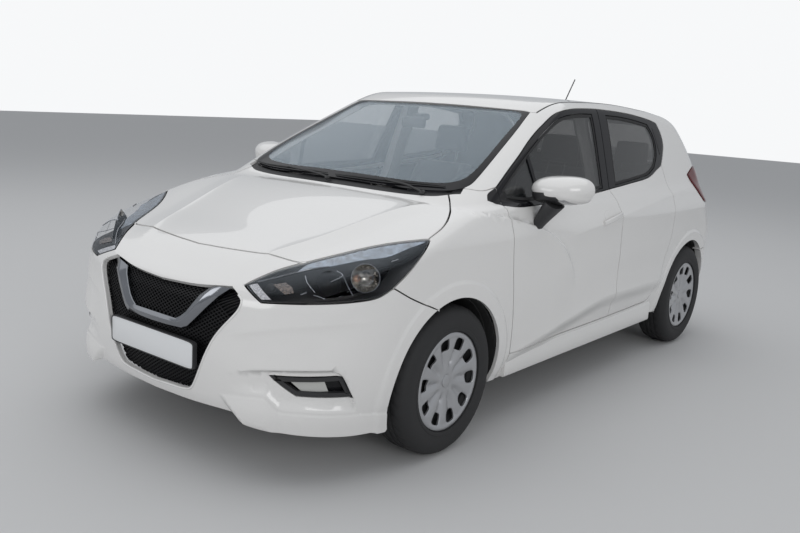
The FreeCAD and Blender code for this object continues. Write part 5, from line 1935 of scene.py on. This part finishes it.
hoses = [rod(places, 17, 16, 9.0) for places in (
    [(-260, 300, 640), (-250, 380, 720), (-180, 420, 760), (-120, 470, 770)],
    [(260, 260, 560), (300, 360, 600), (290, 430, 640), (250, 480, 660)])]
trim("coolant_hoses", hoses, rubber, angle=60)
stay = rod([(-430, 250, 736), (-380, 238, 742), (0, 232, 742), (330, 236, 742), (360, 240, 736)], 4, 12,
    12.0)
trim("bonnet_stay", [stay], steel, angle=60)
inner_edge = offset_loop(bonnet_loop, -34)
wells = [np.array(w, float) for w in (
    [(40, 330), (230, 350), (210, 560), (40, 560)], [(40, 620), (210, 620), (190, 880), (40, 880)],
    [(290, 420), (480, 470), (520, 620), (280, 620)], [(270, 680), (540, 690), (480, 880), (250, 880)])]
wells += [w * [-1, 1] for w in wells]
wells = [through([np.vstack([a, a[:1]])[i:i + 2] for i in range(4)], 14.0) for a in wells]
under_bonnet = panel_parts(TOP, inner_edge, wells, depth=7, sunk=21, gap=0, spacing=26)
dress("bonnet_inner", under_bonnet, white_paint, on="bonnet")

# %% Back of the car
gate_lining = panel_parts(GATE, offset_loop(gate_loop, -24), [offset_loop(rear_screen_loop, 16)], depth=5,
    sunk=31, gap=0, spacing=26)
dress("tailgate_lining", gate_lining, trim_dark, on="tailgate")


def tail_bar(points, half_width, height, lift=0):
    """A flat bar on the tail along a run drawn from behind."""
    line, out = on_body(TAIL, points, 12.0)
    return sweep(line + out * lift, out, sized(FLAT_BAR, half_width, height))


trim("tailgate_handle", [tail_bar([(-250, 786), (0, 792), (250, 786)], 24, 9)], white_paint, on="tailgate")
trim("tailgate_grip", [tail_bar([(-150, 768), (0, 770), (150, 768)], 7, 5, 1)], black_plastic,
    on="tailgate")
trim("third_stop_lamp", [tail_bar([(-130, 1384), (0, 1386), (130, 1384)], 8, 4)], red_glass, on="tailgate")
hub, hub_out = on_body(TAIL, [(-2, 1084), (2, 1086)], 12)
rear_wiper = [
    tail_bar([(-30, 1128), (160, 1140), (330, 1138)], 4, 5, 4),
    tail_bar([(0, 1086), (90, 1112), (190, 1140)], 7, 3, 12),
    tube_ring(hub[0] + hub_out[0] * 6, hub_out[0], 13, 10, 30, 12)]
trim("rear_wiper", rear_wiper, wiper_black, on="tailgate", angle=40)
insert_edge = outline(AROUND, seam(TAIL, [(-500, 262), (0, 252), (500, 262)], [(500, 262), (430, 352)],
    [(430, 352), (0, 346), (-430, 352)], [(-430, 352), (-500, 262)]))
insert = panel_parts(AROUND, insert_edge, depth=4, sunk=-1.5, gap=0, edge=4, spacing=24)
dress("rear_bumper_insert", insert, black_plastic)
glint = polygon(TAIL, (560, 330), (690, 338), (688, 362), (560, 352))
dress("rear_reflectors", both(panel_parts(AROUND, glint, depth=4, sunk=-2, gap=0, spacing=14)), red_glass)
spot = polygon(TAIL, (640, 1040), (700, 1030), (720, 930), (640, 926))
smoke = finish("reversing lens", "lamp_glass", (0.42, 0.40, 0.40), 0.15, 200, 0.0005, (0.1, 0.2),
    Coat_Weight=0.8)
dress("reversing_lamps", both(panel_parts(AROUND, spot, depth=3, sunk=-11, gap=0, spacing=14, edge=3)),
    smoke)

# %% Plates
def plate(name, middle_z, back, front, node, on):
    """A blank plate in a thin moulded frame."""
    way = 1 if front > back else -1

    def ring(half_x, half_z, s):
        section = rounded_section(half_x, half_z, 14, 96)
        return np.stack([section[:, 0], s + 0 * section[:, 0], middle_z + section[:, 1]], 1)

    frame_rows = [ring(260, 55, back), ring(260, 55, front - 2 * way), ring(258.5, 53.5, front),
        ring(256.5, 51.5, front), ring(256, 51, front - 3 * way)]
    trim(name + "_frame", [loft(frame_rows)], black_plastic, node, on=on, angle=30)
    film = [ring(255.6, 50.6, front - 4 * way), ring(255.6, 50.6, front - 2 * way),
        ring(254, 49, front - 1.2 * way)]
    trim(name + "_film", [loft(film)], plate_white, on=on, angle=30)


plate("front_plate", 436, 20, 1, "front_plate", "body")
plate("rear_plate", 695, 3962, 3994, "rear_plate", "tailgate")

# %% Finishes of the model's own pieces
for name, material in (
    ("floor_pan", underbody), ("door_latches", steel), ("engine_block", iron), ("front_suspension", iron),
    ("knuckle_left", iron), ("knuckle_right", iron), ("rear_axle", iron), ("fuel_tank", black_plastic),
    ("exhaust", steel), ("aerial", black_plastic),
):
    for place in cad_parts[name].material_slots:
        place.material = material
